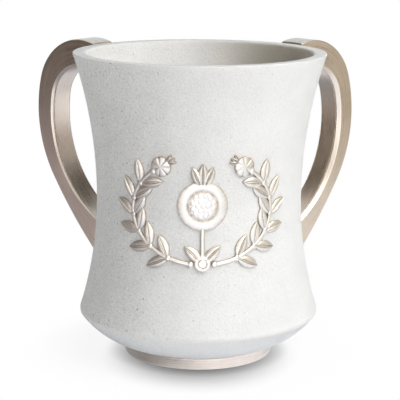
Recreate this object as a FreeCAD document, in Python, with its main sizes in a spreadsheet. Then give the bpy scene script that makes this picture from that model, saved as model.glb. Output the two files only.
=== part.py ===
"""A two-handled cup for washing the hands, on a foot ring, with an applied spray of leaves and fruit.

The cup stands on z = 0 and its axis is the Z axis. Its front, with the ornament, faces -Y.
Every length is in millimetres and every angle is in degrees.
"""
import FreeCAD, Part
import math
import os
import Sketcher
from FreeCAD import Placement, Rotation, Vector

SIZES = {
    # Outside of the cup
    "rim_radius": 56.6,
    "rim_height": 135.6,
    "waist_radius": 45.6,
    "waist_height": 72.0,
    "shoulder_radius": 53.8,
    "shoulder_height": 19.8,
    "belly_arc_radius": 39.0,
    "rim_outer_round": 1.8,
    "rim_inner_round": 2.4,
    "shoulder_round": 2.4,
    # Inside of the cup
    "rim_wall": 6.0,
    "waist_wall": 5.2,
    "shoulder_wall": 6.0,
    "floor_thickness": 8.0,
    "floor_round": 12.0,
    # Foot ring and its pad
    "foot_radius": 33.6,
    "foot_lower_radius": 33.2,
    "foot_bore_radius": 24.0,
    "foot_height": 5.4,
    "foot_edge_round": 0.7,
    "spigot_radius": 29.0,
    "spigot_height": 2.0,
    "spigot_clearance": 0.1,
    "pad_radius": 30.0,
    "pad_thickness": 1.8,
    "pad_proud": 0.3,
    "pad_clearance": 0.2,
    # Handles
    "handle_sweep_angle": 38.0,
    "handle_width": 13.5,
    "handle_far_radius": 90.0,
    "handle_top_rise": 1.9,
    "handle_top_slope": 18.0,
    "handle_widest_drop": 34.0,
    "handle_corner_radius": 25.0,
    "handle_side_radius": 60.0,
    "handle_tail_radius": 220.0,
    "handle_tail_drop": 65.5,
    "handle_root_radius": 42.0,
    "grip_far_radius": 80.9,
    "grip_top_drop": 12.2,
    "grip_widest_drop": 36.0,
    "grip_corner_radius": 17.8,
    "grip_side_radius": 55.0,
    "grip_chamfer": 1.6,
    "handle_edge_round": 0.8,
    "glue_gap": 0.1,
    # Dowels that carry the handles
    "pin_radius": 1.5,
    "pin_clearance": 0.05,
    "pin_end_clearance": 0.3,
    "pin_in_wall": 3.6,
    "pin_in_handle": 6.5,
    "upper_pin_drop": 6.9,
    "lower_pin_drop": 95.5,
    # Applied ornament
    "ornament_height": 73.5,
    "ornament_half_height": 26.0,
    "ornament_half_angle": 50.0,
    "relief_thickness": 1.4,
    "stem_width": 1.7,
    "knuckle_radius": 1.25,
    "leaf_length": 10.5,
    "leaf_width": 4.8,
    "fruit_radius": 10.5,
    "bud_radius": 4.3,
    "tie_radius": 3.4,
    "tie_gap": 0.4,
    # Overrun of every cut past the face it leaves by
    "cut_overrun": 2.0,
}

# The stem follows an ellipse about the ornament's centre, drawn in shares of its half angle and height
STEM_REACH_SHARES = (0.78, 0.86)
STEM_START_ANGLE = 9.0
STEM_END_ANGLE = 138.0
STEM_STEPS = 7
LEAF_SPREAD_ANGLE = 44.0
FRUIT_HEIGHT_SHARE = 0.10
TIE_HEIGHT_SHARE = -0.84
# A pomegranate's crown, across and up from the fruit's centre, in shares of the fruit's radius
CROWN_SHARES = (
    (0.24, 0.90),
    (0.46, 1.66),
    (0.17, 1.40),
    (0.00, 1.74),
    (-0.17, 1.40),
    (-0.46, 1.66),
    (-0.24, 0.90),
)
SAME_SHARE = 1e-6
FULL_TURN = 360.0
HALF_TURN = 180.0


class Size:
    """A size worked out from the sheet: its number, and the expression that keeps it tied to the sheet."""

    def __init__(self, number, text):
        self.number = number
        self.text = text

    def __add__(self, other):
        return Size(self.number + other.number, "(" + self.text + " + " + other.text + ")")

    def __sub__(self, other):
        return Size(self.number - other.number, "(" + self.text + " - " + other.text + ")")

    def __mul__(self, other):
        return Size(self.number * other.number, "(" + self.text + " * " + other.text + ")")

    def __truediv__(self, other):
        return Size(self.number / other.number, "(" + self.text + " / " + other.text + ")")

    def doubled(self):
        return Size(2 * self.number, "(2 * " + self.text + ")")

    def root(self):
        return Size(math.sqrt(self.number), "sqrt(" + self.text + ")")


class Sheet:
    """The spreadsheet of driving sizes, read by their names."""

    def __init__(self, doc, sizes):
        self.table = doc.addObject("Spreadsheet::Sheet", "sizes")
        for row, (alias, value) in enumerate(sizes.items(), start=1):
            self.table.set("A" + str(row), alias)
            self.table.set("B" + str(row), str(value))
            self.table.setAlias("B" + str(row), alias)
        doc.recompute()

    def __getattr__(self, alias):
        return Size(float(self.table.get(alias)), "sizes." + alias)


def flare_radius(reach, rise):
    """Radius of the arc that leaves the waist upright and moves out by reach over rise."""
    return (rise * rise + reach * reach) / reach.doubled()


def outside_arcs(sheet):
    """Radii of the cup's upper and lower outside arcs, which meet upright at the waist."""
    upper = flare_radius(sheet.rim_radius - sheet.waist_radius, sheet.rim_height - sheet.waist_height)
    lower = flare_radius(
        sheet.shoulder_radius - sheet.waist_radius, sheet.waist_height - sheet.shoulder_height
    )
    return upper, lower


def wall_radius(sheet, height):
    """Outside radius of the cup at a height between the shoulder and the rim."""
    upper, lower = outside_arcs(sheet)
    arc = upper if height.number > sheet.waist_height.number else lower
    rise = height - sheet.waist_height
    return sheet.waist_radius + arc - (arc * arc - rise * rise).root()


class Profile:
    """One closed outline in a sketch on a body's own plane, with its points tied to the sheet."""

    # Numbers by which a sketch knows its origin, its upright axis and the places on an edge
    ORIGIN_INDEX = (-1, 1)
    UP_AXIS_INDEX = -2
    START_INDEX = 1
    END_INDEX = 2
    CENTRE_INDEX = 3

    def __init__(self, body, name, plane_role):
        self.sketch = body.newObject("Sketcher::SketchObject", name)
        plane = next(item for item in body.Origin.OriginFeatures if item.Role == plane_role)
        self.sketch.AttachmentSupport = (plane, "")
        self.sketch.MapMode = "FlatFace"

    def line(self, start, end):
        return self.sketch.addGeometry(Part.LineSegment(Vector(*start, 0), Vector(*end, 0)), False)

    def arc(self, centre, start, end):
        """Adds the arc that runs anticlockwise from start to end."""
        radius = math.dist(centre, start)
        first = math.atan2(start[1] - centre[1], start[0] - centre[0])
        last = math.atan2(end[1] - centre[1], end[0] - centre[0])
        circle = Part.Circle(Vector(*centre, 0), Vector(0, 0, 1), radius)
        return self.sketch.addGeometry(Part.ArcOfCircle(circle, first, last), False)

    def circle(self, centre, radius):
        circle = Part.Circle(Vector(*centre, 0), Vector(0, 0, 1), radius)
        return self.sketch.addGeometry(circle, False)

    def rule(self, *terms):
        return self.sketch.addConstraint(Sketcher.Constraint(*terms))

    def tie(self, kind, terms, size):
        """Adds a dimension whose value follows the sheet."""
        index = self.rule(kind, *terms, size.number)
        self.sketch.setExpression("Constraints[" + str(index) + "]", size.text)

    def across(self, edge, point, size):
        self.tie("DistanceX", (*self.ORIGIN_INDEX, edge, point), size)

    def up(self, edge, point, size):
        self.tie("DistanceY", (*self.ORIGIN_INDEX, edge, point), size)

    def place(self, edge, point, across, up):
        self.across(edge, point, across)
        self.up(edge, point, up)

    def radius(self, edge, size):
        self.tie("Radius", (edge,), size)

    def join(self, first, first_point, second, second_point):
        self.rule("Coincident", first, first_point, second, second_point)

    def smooth(self, first, first_point, second, second_point):
        self.rule("Tangent", first, first_point, second, second_point)

    def polygon(self, points):
        """Adds straight edges round points, each a pair of sizes, or None for a point on the axis."""
        places = [(0.0 if across is None else across.number, up.number) for across, up in points]
        edges = [self.line(place, after) for place, after in zip(places, places[1:] + places[:1])]
        for edge, after, (across, up) in zip(edges, edges[1:] + edges[:1], points[1:] + points[:1]):
            self.join(edge, self.END_INDEX, after, self.START_INDEX)
            if across is None:
                self.rule("PointOnObject", after, self.START_INDEX, self.UP_AXIS_INDEX)
            else:
                self.across(after, self.START_INDEX, across)
            self.up(after, self.START_INDEX, up)
        return edges


def revolve(body, kind, name, profile):
    feature = body.newObject("PartDesign::" + kind, name)
    feature.Profile = profile.sketch
    feature.ReferenceAxis = (profile.sketch, ["V_Axis"])
    feature.Angle = FULL_TURN
    return feature


def edges_through(shape, points):
    """Names of the edges of a shape that pass through the given points."""
    reach = SAME_SHARE * shape.BoundBox.DiagonalLength
    marks = [Part.Vertex(point) for point in points]
    names = []
    for number, edge in enumerate(shape.Edges, start=1):
        if any(edge.distToShape(mark)[0] < reach for mark in marks):
            names.append("Edge" + str(number))
    return names


def dress_edges(body, kind, name, base, points, size):
    """Rounds or bevels the edges of the base feature that pass through the points."""
    feature = body.newObject("PartDesign::" + kind, name)
    feature.Base = (base, edges_through(base.Shape, points))
    feature.setExpression("Radius" if kind == "Fillet" else "Size", size.text)
    return feature


def foot_top(sheet):
    """Height of the joint between the foot ring and the cup."""
    return sheet.foot_height


def draw_outside(sheet, body):
    """The cup's outside with the shallow recess that takes the foot ring's spigot."""
    upper, lower = outside_arcs(sheet)
    seat = foot_top(sheet)
    recess_radius = sheet.spigot_radius + sheet.spigot_clearance
    recess_top = seat + sheet.spigot_height + sheet.spigot_clearance
    recess_corner = (recess_radius.number, recess_top.number)
    recess_mouth = (recess_radius.number, seat.number)
    foot = (sheet.foot_radius.number, seat.number)
    shoulder = (sheet.shoulder_radius.number, sheet.shoulder_height.number)
    waist = (sheet.waist_radius.number, sheet.waist_height.number)
    rim = (sheet.rim_radius.number, sheet.rim_height.number)
    half_chord = math.dist(foot, shoulder) / 2
    belly_rise = math.sqrt(sheet.belly_arc_radius.number ** 2 - half_chord ** 2)
    lean = math.atan2(shoulder[1] - foot[1], shoulder[0] - foot[0])
    middle = ((foot[0] + shoulder[0]) / 2, (foot[1] + shoulder[1]) / 2)
    belly_centre = (middle[0] - belly_rise * math.sin(lean), middle[1] + belly_rise * math.cos(lean))

    profile = Profile(body, "outside_outline", "XZ_Plane")
    axis = profile.line((0.0, rim[1]), (0.0, recess_top.number))
    ceiling = profile.line((0.0, recess_top.number), recess_corner)
    recess_wall = profile.line(recess_corner, recess_mouth)
    underside = profile.line(recess_mouth, foot)
    belly = profile.arc(belly_centre, foot, shoulder)
    lower_arc = profile.arc((waist[0] + lower.number, waist[1]), waist, shoulder)
    upper_arc = profile.arc((waist[0] + upper.number, waist[1]), rim, waist)
    lip = profile.line(rim, (0.0, rim[1]))

    profile.rule("PointOnObject", axis, Profile.START_INDEX, Profile.UP_AXIS_INDEX)
    profile.rule("PointOnObject", axis, Profile.END_INDEX, Profile.UP_AXIS_INDEX)
    profile.join(axis, Profile.END_INDEX, ceiling, Profile.START_INDEX)
    profile.up(ceiling, Profile.START_INDEX, recess_top)
    profile.join(ceiling, Profile.END_INDEX, recess_wall, Profile.START_INDEX)
    profile.place(recess_wall, Profile.START_INDEX, recess_radius, recess_top)
    profile.join(recess_wall, Profile.END_INDEX, underside, Profile.START_INDEX)
    profile.place(underside, Profile.START_INDEX, recess_radius, seat)
    profile.join(underside, Profile.END_INDEX, belly, Profile.START_INDEX)
    profile.place(belly, Profile.START_INDEX, sheet.foot_radius, seat)
    profile.join(belly, Profile.END_INDEX, lower_arc, Profile.END_INDEX)
    profile.place(belly, Profile.END_INDEX, sheet.shoulder_radius, sheet.shoulder_height)
    profile.radius(belly, sheet.belly_arc_radius)
    profile.join(lower_arc, Profile.START_INDEX, upper_arc, Profile.END_INDEX)
    profile.place(lower_arc, Profile.START_INDEX, sheet.waist_radius, sheet.waist_height)
    profile.rule("Horizontal", lower_arc, Profile.CENTRE_INDEX, lower_arc, Profile.START_INDEX)
    profile.rule("Horizontal", upper_arc, Profile.CENTRE_INDEX, upper_arc, Profile.END_INDEX)
    profile.join(upper_arc, Profile.START_INDEX, lip, Profile.START_INDEX)
    profile.place(lip, Profile.START_INDEX, sheet.rim_radius, sheet.rim_height)
    profile.join(lip, Profile.END_INDEX, axis, Profile.START_INDEX)
    profile.rule("Horizontal", lip)
    return profile


def draw_cavity(sheet, body):
    """The cup's inside: a flat floor, a wide fillet and two arcs that follow the outside."""
    floor = foot_top(sheet) + sheet.floor_thickness
    mouth = sheet.rim_height + sheet.cut_overrun
    rim_radius = sheet.rim_radius - sheet.rim_wall
    waist_radius = sheet.waist_radius - sheet.waist_wall
    shoulder_radius = sheet.shoulder_radius - sheet.shoulder_wall
    upper = flare_radius(rim_radius - waist_radius, sheet.rim_height - sheet.waist_height)
    lower = flare_radius(shoulder_radius - waist_radius, sheet.waist_height - sheet.shoulder_height)
    waist = (waist_radius.number, sheet.waist_height.number)
    rim = (rim_radius.number, sheet.rim_height.number)
    fillet = sheet.floor_round.number
    lower_centre = (waist[0] + lower.number, waist[1])
    drop = waist[1] - floor.number - fillet
    fillet_centre = (
        lower_centre[0] - math.sqrt((lower.number + fillet) ** 2 - drop ** 2),
        floor.number + fillet,
    )
    share = fillet / (lower.number + fillet)
    meeting = (
        fillet_centre[0] + share * (lower_centre[0] - fillet_centre[0]),
        fillet_centre[1] + share * (lower_centre[1] - fillet_centre[1]),
    )
    floor_end = (fillet_centre[0], floor.number)

    profile = Profile(body, "cavity_outline", "XZ_Plane")
    floor_line = profile.line((0.0, floor.number), floor_end)
    fillet_arc = profile.arc(fillet_centre, floor_end, meeting)
    lower_arc = profile.arc(lower_centre, waist, meeting)
    upper_arc = profile.arc((waist[0] + upper.number, waist[1]), rim, waist)
    mouth_wall = profile.line(rim, (rim[0], mouth.number))
    mouth_top = profile.line((rim[0], mouth.number), (0.0, mouth.number))
    axis = profile.line((0.0, mouth.number), (0.0, floor.number))

    profile.rule("PointOnObject", floor_line, Profile.START_INDEX, Profile.UP_AXIS_INDEX)
    profile.up(floor_line, Profile.START_INDEX, floor)
    profile.rule("Horizontal", floor_line)
    profile.smooth(floor_line, Profile.END_INDEX, fillet_arc, Profile.START_INDEX)
    profile.radius(fillet_arc, sheet.floor_round)
    profile.smooth(fillet_arc, Profile.END_INDEX, lower_arc, Profile.END_INDEX)
    profile.radius(lower_arc, lower)
    profile.place(lower_arc, Profile.START_INDEX, waist_radius, sheet.waist_height)
    profile.rule("Horizontal", lower_arc, Profile.CENTRE_INDEX, lower_arc, Profile.START_INDEX)
    profile.join(lower_arc, Profile.START_INDEX, upper_arc, Profile.END_INDEX)
    profile.rule("Horizontal", upper_arc, Profile.CENTRE_INDEX, upper_arc, Profile.END_INDEX)
    profile.place(upper_arc, Profile.START_INDEX, rim_radius, sheet.rim_height)
    profile.join(upper_arc, Profile.START_INDEX, mouth_wall, Profile.START_INDEX)
    profile.rule("Vertical", mouth_wall)
    profile.up(mouth_wall, Profile.END_INDEX, mouth)
    profile.join(mouth_wall, Profile.END_INDEX, mouth_top, Profile.START_INDEX)
    profile.rule("Horizontal", mouth_top)
    profile.rule("PointOnObject", mouth_top, Profile.END_INDEX, Profile.UP_AXIS_INDEX)
    profile.join(mouth_top, Profile.END_INDEX, axis, Profile.START_INDEX)
    profile.join(axis, Profile.END_INDEX, floor_line, Profile.START_INDEX)
    return profile


def handle_top(sheet):
    """Height of the handles' highest point, from which the heights along a handle are counted down."""
    return sheet.rim_height + sheet.handle_top_rise


def handle_angles(sheet):
    """Angle of each handle's plane about the cup's axis, counted from +X: both are swept to the back."""
    sweep = sheet.handle_sweep_angle.number
    return {"right": sweep, "left": HALF_TURN - sweep}


def pin_heights(sheet):
    top = handle_top(sheet)
    return {"upper": top - sheet.upper_pin_drop, "lower": top - sheet.lower_pin_drop}


def radial_placement(angle, radius, height):
    """Lays a Z-axis cylinder out along the given angle, from a radius and at a height."""
    outward = Vector(math.cos(math.radians(angle)), math.sin(math.radians(angle)), 0)
    return Placement(outward * radius + Vector(0, 0, height), Rotation(Vector(0, 0, 1), outward))


def make_cup_body(doc, sheet):
    """The cast shell: revolved outside, cavity, rounded lip and shoulder, and a socket for each dowel."""
    body = doc.addObject("PartDesign::Body", "cup_body")
    outside = draw_outside(sheet, body)
    revolve(body, "Revolution", "outside", outside)
    cavity_outline = draw_cavity(sheet, body)
    cavity = revolve(body, "Groove", "cavity", cavity_outline)
    doc.recompute()
    outer_lip = Vector(sheet.rim_radius.number, 0, sheet.rim_height.number)
    inner_lip = Vector((sheet.rim_radius - sheet.rim_wall).number, 0, sheet.rim_height.number)
    shoulder = Vector(sheet.shoulder_radius.number, 0, sheet.shoulder_height.number)
    rounded = cavity
    for name, point, size in (
        ("outer_lip_round", outer_lip, sheet.rim_outer_round),
        ("inner_lip_round", inner_lip, sheet.rim_inner_round),
        ("shoulder_round", shoulder, sheet.shoulder_round),
    ):
        rounded = dress_edges(body, "Fillet", name, rounded, [point], size)
        doc.recompute()
    for side, angle in handle_angles(sheet).items():
        for level, height in pin_heights(sheet).items():
            socket = body.newObject("PartDesign::SubtractiveCylinder", "socket_" + side + "_" + level)
            depth = sheet.pin_in_wall + sheet.pin_end_clearance
            start = wall_radius(sheet, height) - depth
            socket.setExpression("Radius", (sheet.pin_radius + sheet.pin_clearance).text)
            socket.setExpression("Height", (depth + sheet.cut_overrun).text)
            socket.Placement = radial_placement(angle, start.number, height.number)
    return body


def make_foot_ring(doc, sheet):
    """The ring the cup stands on: a spigot goes up into the cup and a recess below takes the pad."""
    body = doc.addObject("PartDesign::Body", "foot_ring")
    top = foot_top(sheet)
    spigot_top = top + sheet.spigot_height
    recess_radius = sheet.pad_radius + sheet.pad_clearance
    profile = Profile(body, "ring_outline", "XZ_Plane")
    profile.polygon([
        (sheet.foot_lower_radius, sheet.pad_proud),
        (sheet.foot_radius, top),
        (sheet.spigot_radius, top),
        (sheet.spigot_radius, spigot_top),
        (sheet.foot_bore_radius, spigot_top),
        (sheet.foot_bore_radius, sheet.pad_thickness),
        (recess_radius, sheet.pad_thickness),
        (recess_radius, sheet.pad_proud),
    ])
    ring = revolve(body, "Revolution", "ring", profile)
    doc.recompute()
    lower_edge = Vector(sheet.foot_lower_radius.number, 0, sheet.pad_proud.number)
    dress_edges(body, "Fillet", "lower_edge_round", ring, [lower_edge], sheet.foot_edge_round)
    return body


def make_base_pad(doc, sheet):
    """The soft disc glued under the foot ring, which stands a little proud of it."""
    pad = doc.addObject("Part::Cylinder", "base_pad")
    pad.setExpression("Radius", sheet.pad_radius.text)
    pad.setExpression("Height", sheet.pad_thickness.text)
    return pad


def tangent_centre(fixed, distance, height):
    """Centre at a height and at a distance from a fixed centre, on the side away from the axis."""
    return (fixed[0] + math.sqrt(distance ** 2 - (height - fixed[1]) ** 2), height)


def beyond(centre, towards, radius):
    """Point at a radius from a centre, on the line from it through another point."""
    share = radius / math.dist(centre, towards)
    return (
        centre[0] + share * (towards[0] - centre[0]),
        centre[1] + share * (towards[1] - centre[1]),
    )


def point_on_arc(centre, start, end):
    """Middle of the shorter arc from start to end about a centre."""
    middle = ((start[0] + end[0]) / 2, (start[1] + end[1]) / 2)
    return beyond(centre, middle, math.dist(centre, start))


class HandleOutline:
    """The side view of one handle, across from the cup's axis and up, with its root inside the wall."""

    def __init__(self, sheet):
        self.sheet = sheet
        corner = sheet.handle_corner_radius.number
        side = sheet.handle_side_radius.number
        tail = sheet.handle_tail_radius.number
        root = sheet.handle_root_radius.number
        slope = math.radians(sheet.handle_top_slope.number)
        self.top = handle_top(sheet)
        self.widest_height = self.top - sheet.handle_widest_drop
        self.tail_height = self.top - sheet.handle_tail_drop
        self.side_centre = (sheet.handle_far_radius.number - side, self.widest_height.number)
        top_centre_height = self.top.number - corner
        self.corner_centre = tangent_centre(self.side_centre, side - corner, top_centre_height)
        self.corner_start = beyond(self.side_centre, self.corner_centre, side)
        self.corner_end = (
            self.corner_centre[0] - corner * math.sin(slope),
            self.corner_centre[1] + corner * math.cos(slope),
        )
        fall = (self.corner_end[0] - root) * math.tan(slope)
        self.top_root = (root, self.corner_end[1] - fall)
        tail_rise = self.tail_height.number - self.side_centre[1]
        tail_across = math.sqrt(side ** 2 - tail_rise ** 2)
        self.tail_start = (self.side_centre[0] + tail_across, self.tail_height.number)
        self.tail_centre = beyond(self.tail_start, self.side_centre, tail)
        tail_drop = math.sqrt(tail ** 2 - (root - self.tail_centre[0]) ** 2)
        self.tail_root = (root, self.tail_centre[1] - tail_drop)

        grip_corner = sheet.grip_corner_radius.number
        grip_side = sheet.grip_side_radius.number
        self.grip_top = self.top - sheet.grip_top_drop
        self.grip_widest_height = self.top - sheet.grip_widest_drop
        grip_top = self.grip_top.number
        grip_across = sheet.grip_far_radius.number - grip_side
        self.grip_side_centre = (grip_across, self.grip_widest_height.number)
        self.grip_corner_centre = tangent_centre(
            self.grip_side_centre, grip_side - grip_corner, grip_top - grip_corner
        )
        self.grip_corner_start = beyond(self.grip_side_centre, self.grip_corner_centre, grip_side)
        self.grip_corner_end = (self.grip_corner_centre[0], grip_top)
        self.grip_top_root = (root, grip_top)
        grip_drop = math.sqrt(grip_side ** 2 - (root - self.grip_side_centre[0]) ** 2)
        self.grip_root = (root, self.grip_side_centre[1] - grip_drop)

    def draw(self, body):
        sheet = self.sheet
        profile = Profile(body, "handle_outline", "XZ_Plane")
        top = profile.line(self.top_root, self.corner_end)
        corner = profile.arc(self.corner_centre, self.corner_start, self.corner_end)
        side = profile.arc(self.side_centre, self.tail_start, self.corner_start)
        tail = profile.arc(self.tail_centre, self.tail_root, self.tail_start)
        lower_root = profile.line(self.tail_root, self.grip_root)
        grip_side = profile.arc(self.grip_side_centre, self.grip_root, self.grip_corner_start)
        grip_corner = profile.arc(self.grip_corner_centre, self.grip_corner_start, self.grip_corner_end)
        grip_top = profile.line(self.grip_corner_end, self.grip_top_root)
        upper_root = profile.line(self.grip_top_root, self.top_root)

        profile.smooth(top, Profile.END_INDEX, corner, Profile.END_INDEX)
        profile.smooth(corner, Profile.START_INDEX, side, Profile.END_INDEX)
        profile.smooth(side, Profile.START_INDEX, tail, Profile.END_INDEX)
        profile.join(tail, Profile.START_INDEX, lower_root, Profile.START_INDEX)
        profile.join(lower_root, Profile.END_INDEX, grip_side, Profile.START_INDEX)
        profile.smooth(grip_side, Profile.END_INDEX, grip_corner, Profile.START_INDEX)
        profile.smooth(grip_corner, Profile.END_INDEX, grip_top, Profile.START_INDEX)
        profile.join(grip_top, Profile.END_INDEX, upper_root, Profile.START_INDEX)
        profile.join(upper_root, Profile.END_INDEX, top, Profile.START_INDEX)

        profile.radius(corner, sheet.handle_corner_radius)
        profile.radius(side, sheet.handle_side_radius)
        profile.radius(tail, sheet.handle_tail_radius)
        side_across = sheet.handle_far_radius - sheet.handle_side_radius
        profile.place(side, Profile.CENTRE_INDEX, side_across, self.widest_height)
        profile.up(corner, Profile.CENTRE_INDEX, self.top - sheet.handle_corner_radius)
        profile.up(tail, Profile.END_INDEX, self.tail_height)
        profile.across(top, Profile.START_INDEX, sheet.handle_root_radius)
        profile.across(tail, Profile.START_INDEX, sheet.handle_root_radius)
        slope = Size(math.radians(sheet.handle_top_slope.number), sheet.handle_top_slope.text + " * 1 deg")
        profile.tie("Angle", (top,), slope)

        profile.radius(grip_corner, sheet.grip_corner_radius)
        profile.radius(grip_side, sheet.grip_side_radius)
        grip_across = sheet.grip_far_radius - sheet.grip_side_radius
        profile.place(grip_side, Profile.CENTRE_INDEX, grip_across, self.grip_widest_height)
        profile.rule("Horizontal", grip_top)
        profile.place(grip_top, Profile.END_INDEX, sheet.handle_root_radius, self.grip_top)
        profile.across(grip_side, Profile.START_INDEX, sheet.handle_root_radius)
        return profile

    def edge_points(self, places):
        """The places, on both side faces of the handle."""
        half = self.sheet.handle_width.number / 2
        return [Vector(across, depth, up) for across, up in places for depth in (-half, half)]

    def grip_points(self):
        return self.edge_points([
            ((self.grip_top_root[0] + self.grip_corner_end[0]) / 2, self.grip_top_root[1]),
            point_on_arc(self.grip_corner_centre, self.grip_corner_start, self.grip_corner_end),
            point_on_arc(self.grip_side_centre, self.grip_root, self.grip_corner_start),
        ])

    def back_points(self):
        return self.edge_points([
            ((self.top_root[0] + self.corner_end[0]) / 2, (self.top_root[1] + self.corner_end[1]) / 2),
            point_on_arc(self.corner_centre, self.corner_start, self.corner_end),
            point_on_arc(self.side_centre, self.tail_start, self.corner_start),
            point_on_arc(self.tail_centre, self.tail_root, self.tail_start),
        ])


def draw_wall_cut(sheet, body):
    """The cup's outside with the glue gap added, which shapes both ends of a handle to the wall."""
    upper, lower = outside_arcs(sheet)
    gap = sheet.glue_gap
    waist_radius = sheet.waist_radius + gap
    top = handle_top(sheet) + sheet.cut_overrun
    waist = (waist_radius.number, sheet.waist_height.number)
    upper_arc_radius = upper - gap
    lower_arc_radius = lower - gap
    upper_rise = (sheet.rim_height - sheet.waist_height).number
    across = math.sqrt(upper_arc_radius.number ** 2 - upper_rise ** 2)
    rim_place = (waist[0] + upper_arc_radius.number - across, sheet.rim_height.number)
    low = sheet.pad_proud - sheet.cut_overrun
    drop = sheet.waist_height.number - low.number
    across = math.sqrt(lower_arc_radius.number ** 2 - drop ** 2)
    foot_place = (waist[0] + lower_arc_radius.number - across, low.number)

    profile = Profile(body, "wall_outline", "XZ_Plane")
    axis = profile.line((0.0, top.number), (0.0, foot_place[1]))
    floor_line = profile.line((0.0, foot_place[1]), foot_place)
    lower_arc = profile.arc((waist[0] + lower_arc_radius.number, waist[1]), waist, foot_place)
    upper_arc = profile.arc((waist[0] + upper_arc_radius.number, waist[1]), rim_place, waist)
    lip_wall = profile.line(rim_place, (rim_place[0], top.number))
    top_line = profile.line((rim_place[0], top.number), (0.0, top.number))

    profile.join(axis, Profile.END_INDEX, floor_line, Profile.START_INDEX)
    profile.rule("PointOnObject", axis, Profile.START_INDEX, Profile.UP_AXIS_INDEX)
    profile.rule("PointOnObject", axis, Profile.END_INDEX, Profile.UP_AXIS_INDEX)
    profile.up(floor_line, Profile.START_INDEX, low)
    profile.rule("Horizontal", floor_line)
    profile.join(floor_line, Profile.END_INDEX, lower_arc, Profile.END_INDEX)
    profile.radius(lower_arc, lower_arc_radius)
    profile.place(lower_arc, Profile.START_INDEX, waist_radius, sheet.waist_height)
    profile.rule("Horizontal", lower_arc, Profile.CENTRE_INDEX, lower_arc, Profile.START_INDEX)
    profile.join(lower_arc, Profile.START_INDEX, upper_arc, Profile.END_INDEX)
    profile.radius(upper_arc, upper_arc_radius)
    profile.rule("Horizontal", upper_arc, Profile.CENTRE_INDEX, upper_arc, Profile.END_INDEX)
    profile.up(upper_arc, Profile.START_INDEX, sheet.rim_height)
    profile.join(upper_arc, Profile.START_INDEX, lip_wall, Profile.START_INDEX)
    profile.rule("Vertical", lip_wall)
    profile.join(lip_wall, Profile.END_INDEX, top_line, Profile.START_INDEX)
    profile.up(top_line, Profile.START_INDEX, top)
    profile.rule("Horizontal", top_line)
    profile.join(top_line, Profile.END_INDEX, axis, Profile.START_INDEX)
    return profile


def bore_for_pin(doc, sheet, body, level, height):
    """A level hole in a handle's end that takes one dowel."""
    profile = Profile(body, level + "_pin_outline", "YZ_Plane")
    radius = sheet.pin_radius + sheet.pin_clearance
    circle = profile.circle((0.0, height.number), radius.number)
    profile.rule("PointOnObject", circle, Profile.CENTRE_INDEX, Profile.UP_AXIS_INDEX)
    profile.up(circle, Profile.CENTRE_INDEX, height)
    profile.radius(circle, radius)
    bore = body.newObject("PartDesign::Pocket", level + "_pin_bore")
    bore.Profile = profile.sketch
    depth = wall_radius(sheet, height) + sheet.pin_in_handle + sheet.pin_end_clearance
    bore.setExpression("Length", depth.text)
    bore.Reversed = True
    doc.recompute()


def make_handle(doc, sheet, side, angle):
    """One band handle: a flat band with a shaped back, bevelled round the grip, cut to seat on the wall."""
    body = doc.addObject("PartDesign::Body", "handle_" + side)
    outline = HandleOutline(sheet)
    profile = outline.draw(body)
    band = body.newObject("PartDesign::Pad", "band")
    band.Profile = profile.sketch
    band.SideType = "Symmetric"
    band.setExpression("Length", sheet.handle_width.text)
    doc.recompute()
    bevel = dress_edges(body, "Chamfer", "grip_bevel", band, outline.grip_points(), sheet.grip_chamfer)
    doc.recompute()
    dress_edges(body, "Fillet", "back_round", bevel, outline.back_points(), sheet.handle_edge_round)
    doc.recompute()
    revolve(body, "Groove", "wall_seat", draw_wall_cut(sheet, body))
    doc.recompute()
    for level, height in pin_heights(sheet).items():
        bore_for_pin(doc, sheet, body, level, height)
    body.Placement = Placement(Vector(0, 0, 0), Rotation(Vector(0, 0, 1), angle))
    return body


def make_pins(doc, sheet):
    """The four dowels, two to a handle, each laid level from the wall out into the handle."""
    pins = []
    for side, angle in handle_angles(sheet).items():
        for level, height in pin_heights(sheet).items():
            pin = doc.addObject("Part::Cylinder", "handle_pin_" + side + "_" + level)
            pin.setExpression("Radius", sheet.pin_radius.text)
            pin.setExpression("Height", (sheet.pin_in_wall + sheet.pin_in_handle).text)
            start = wall_radius(sheet, height) - sheet.pin_in_wall
            pin.Placement = radial_placement(angle, start.number, height.number)
            pins.append(pin)
    return pins


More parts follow.
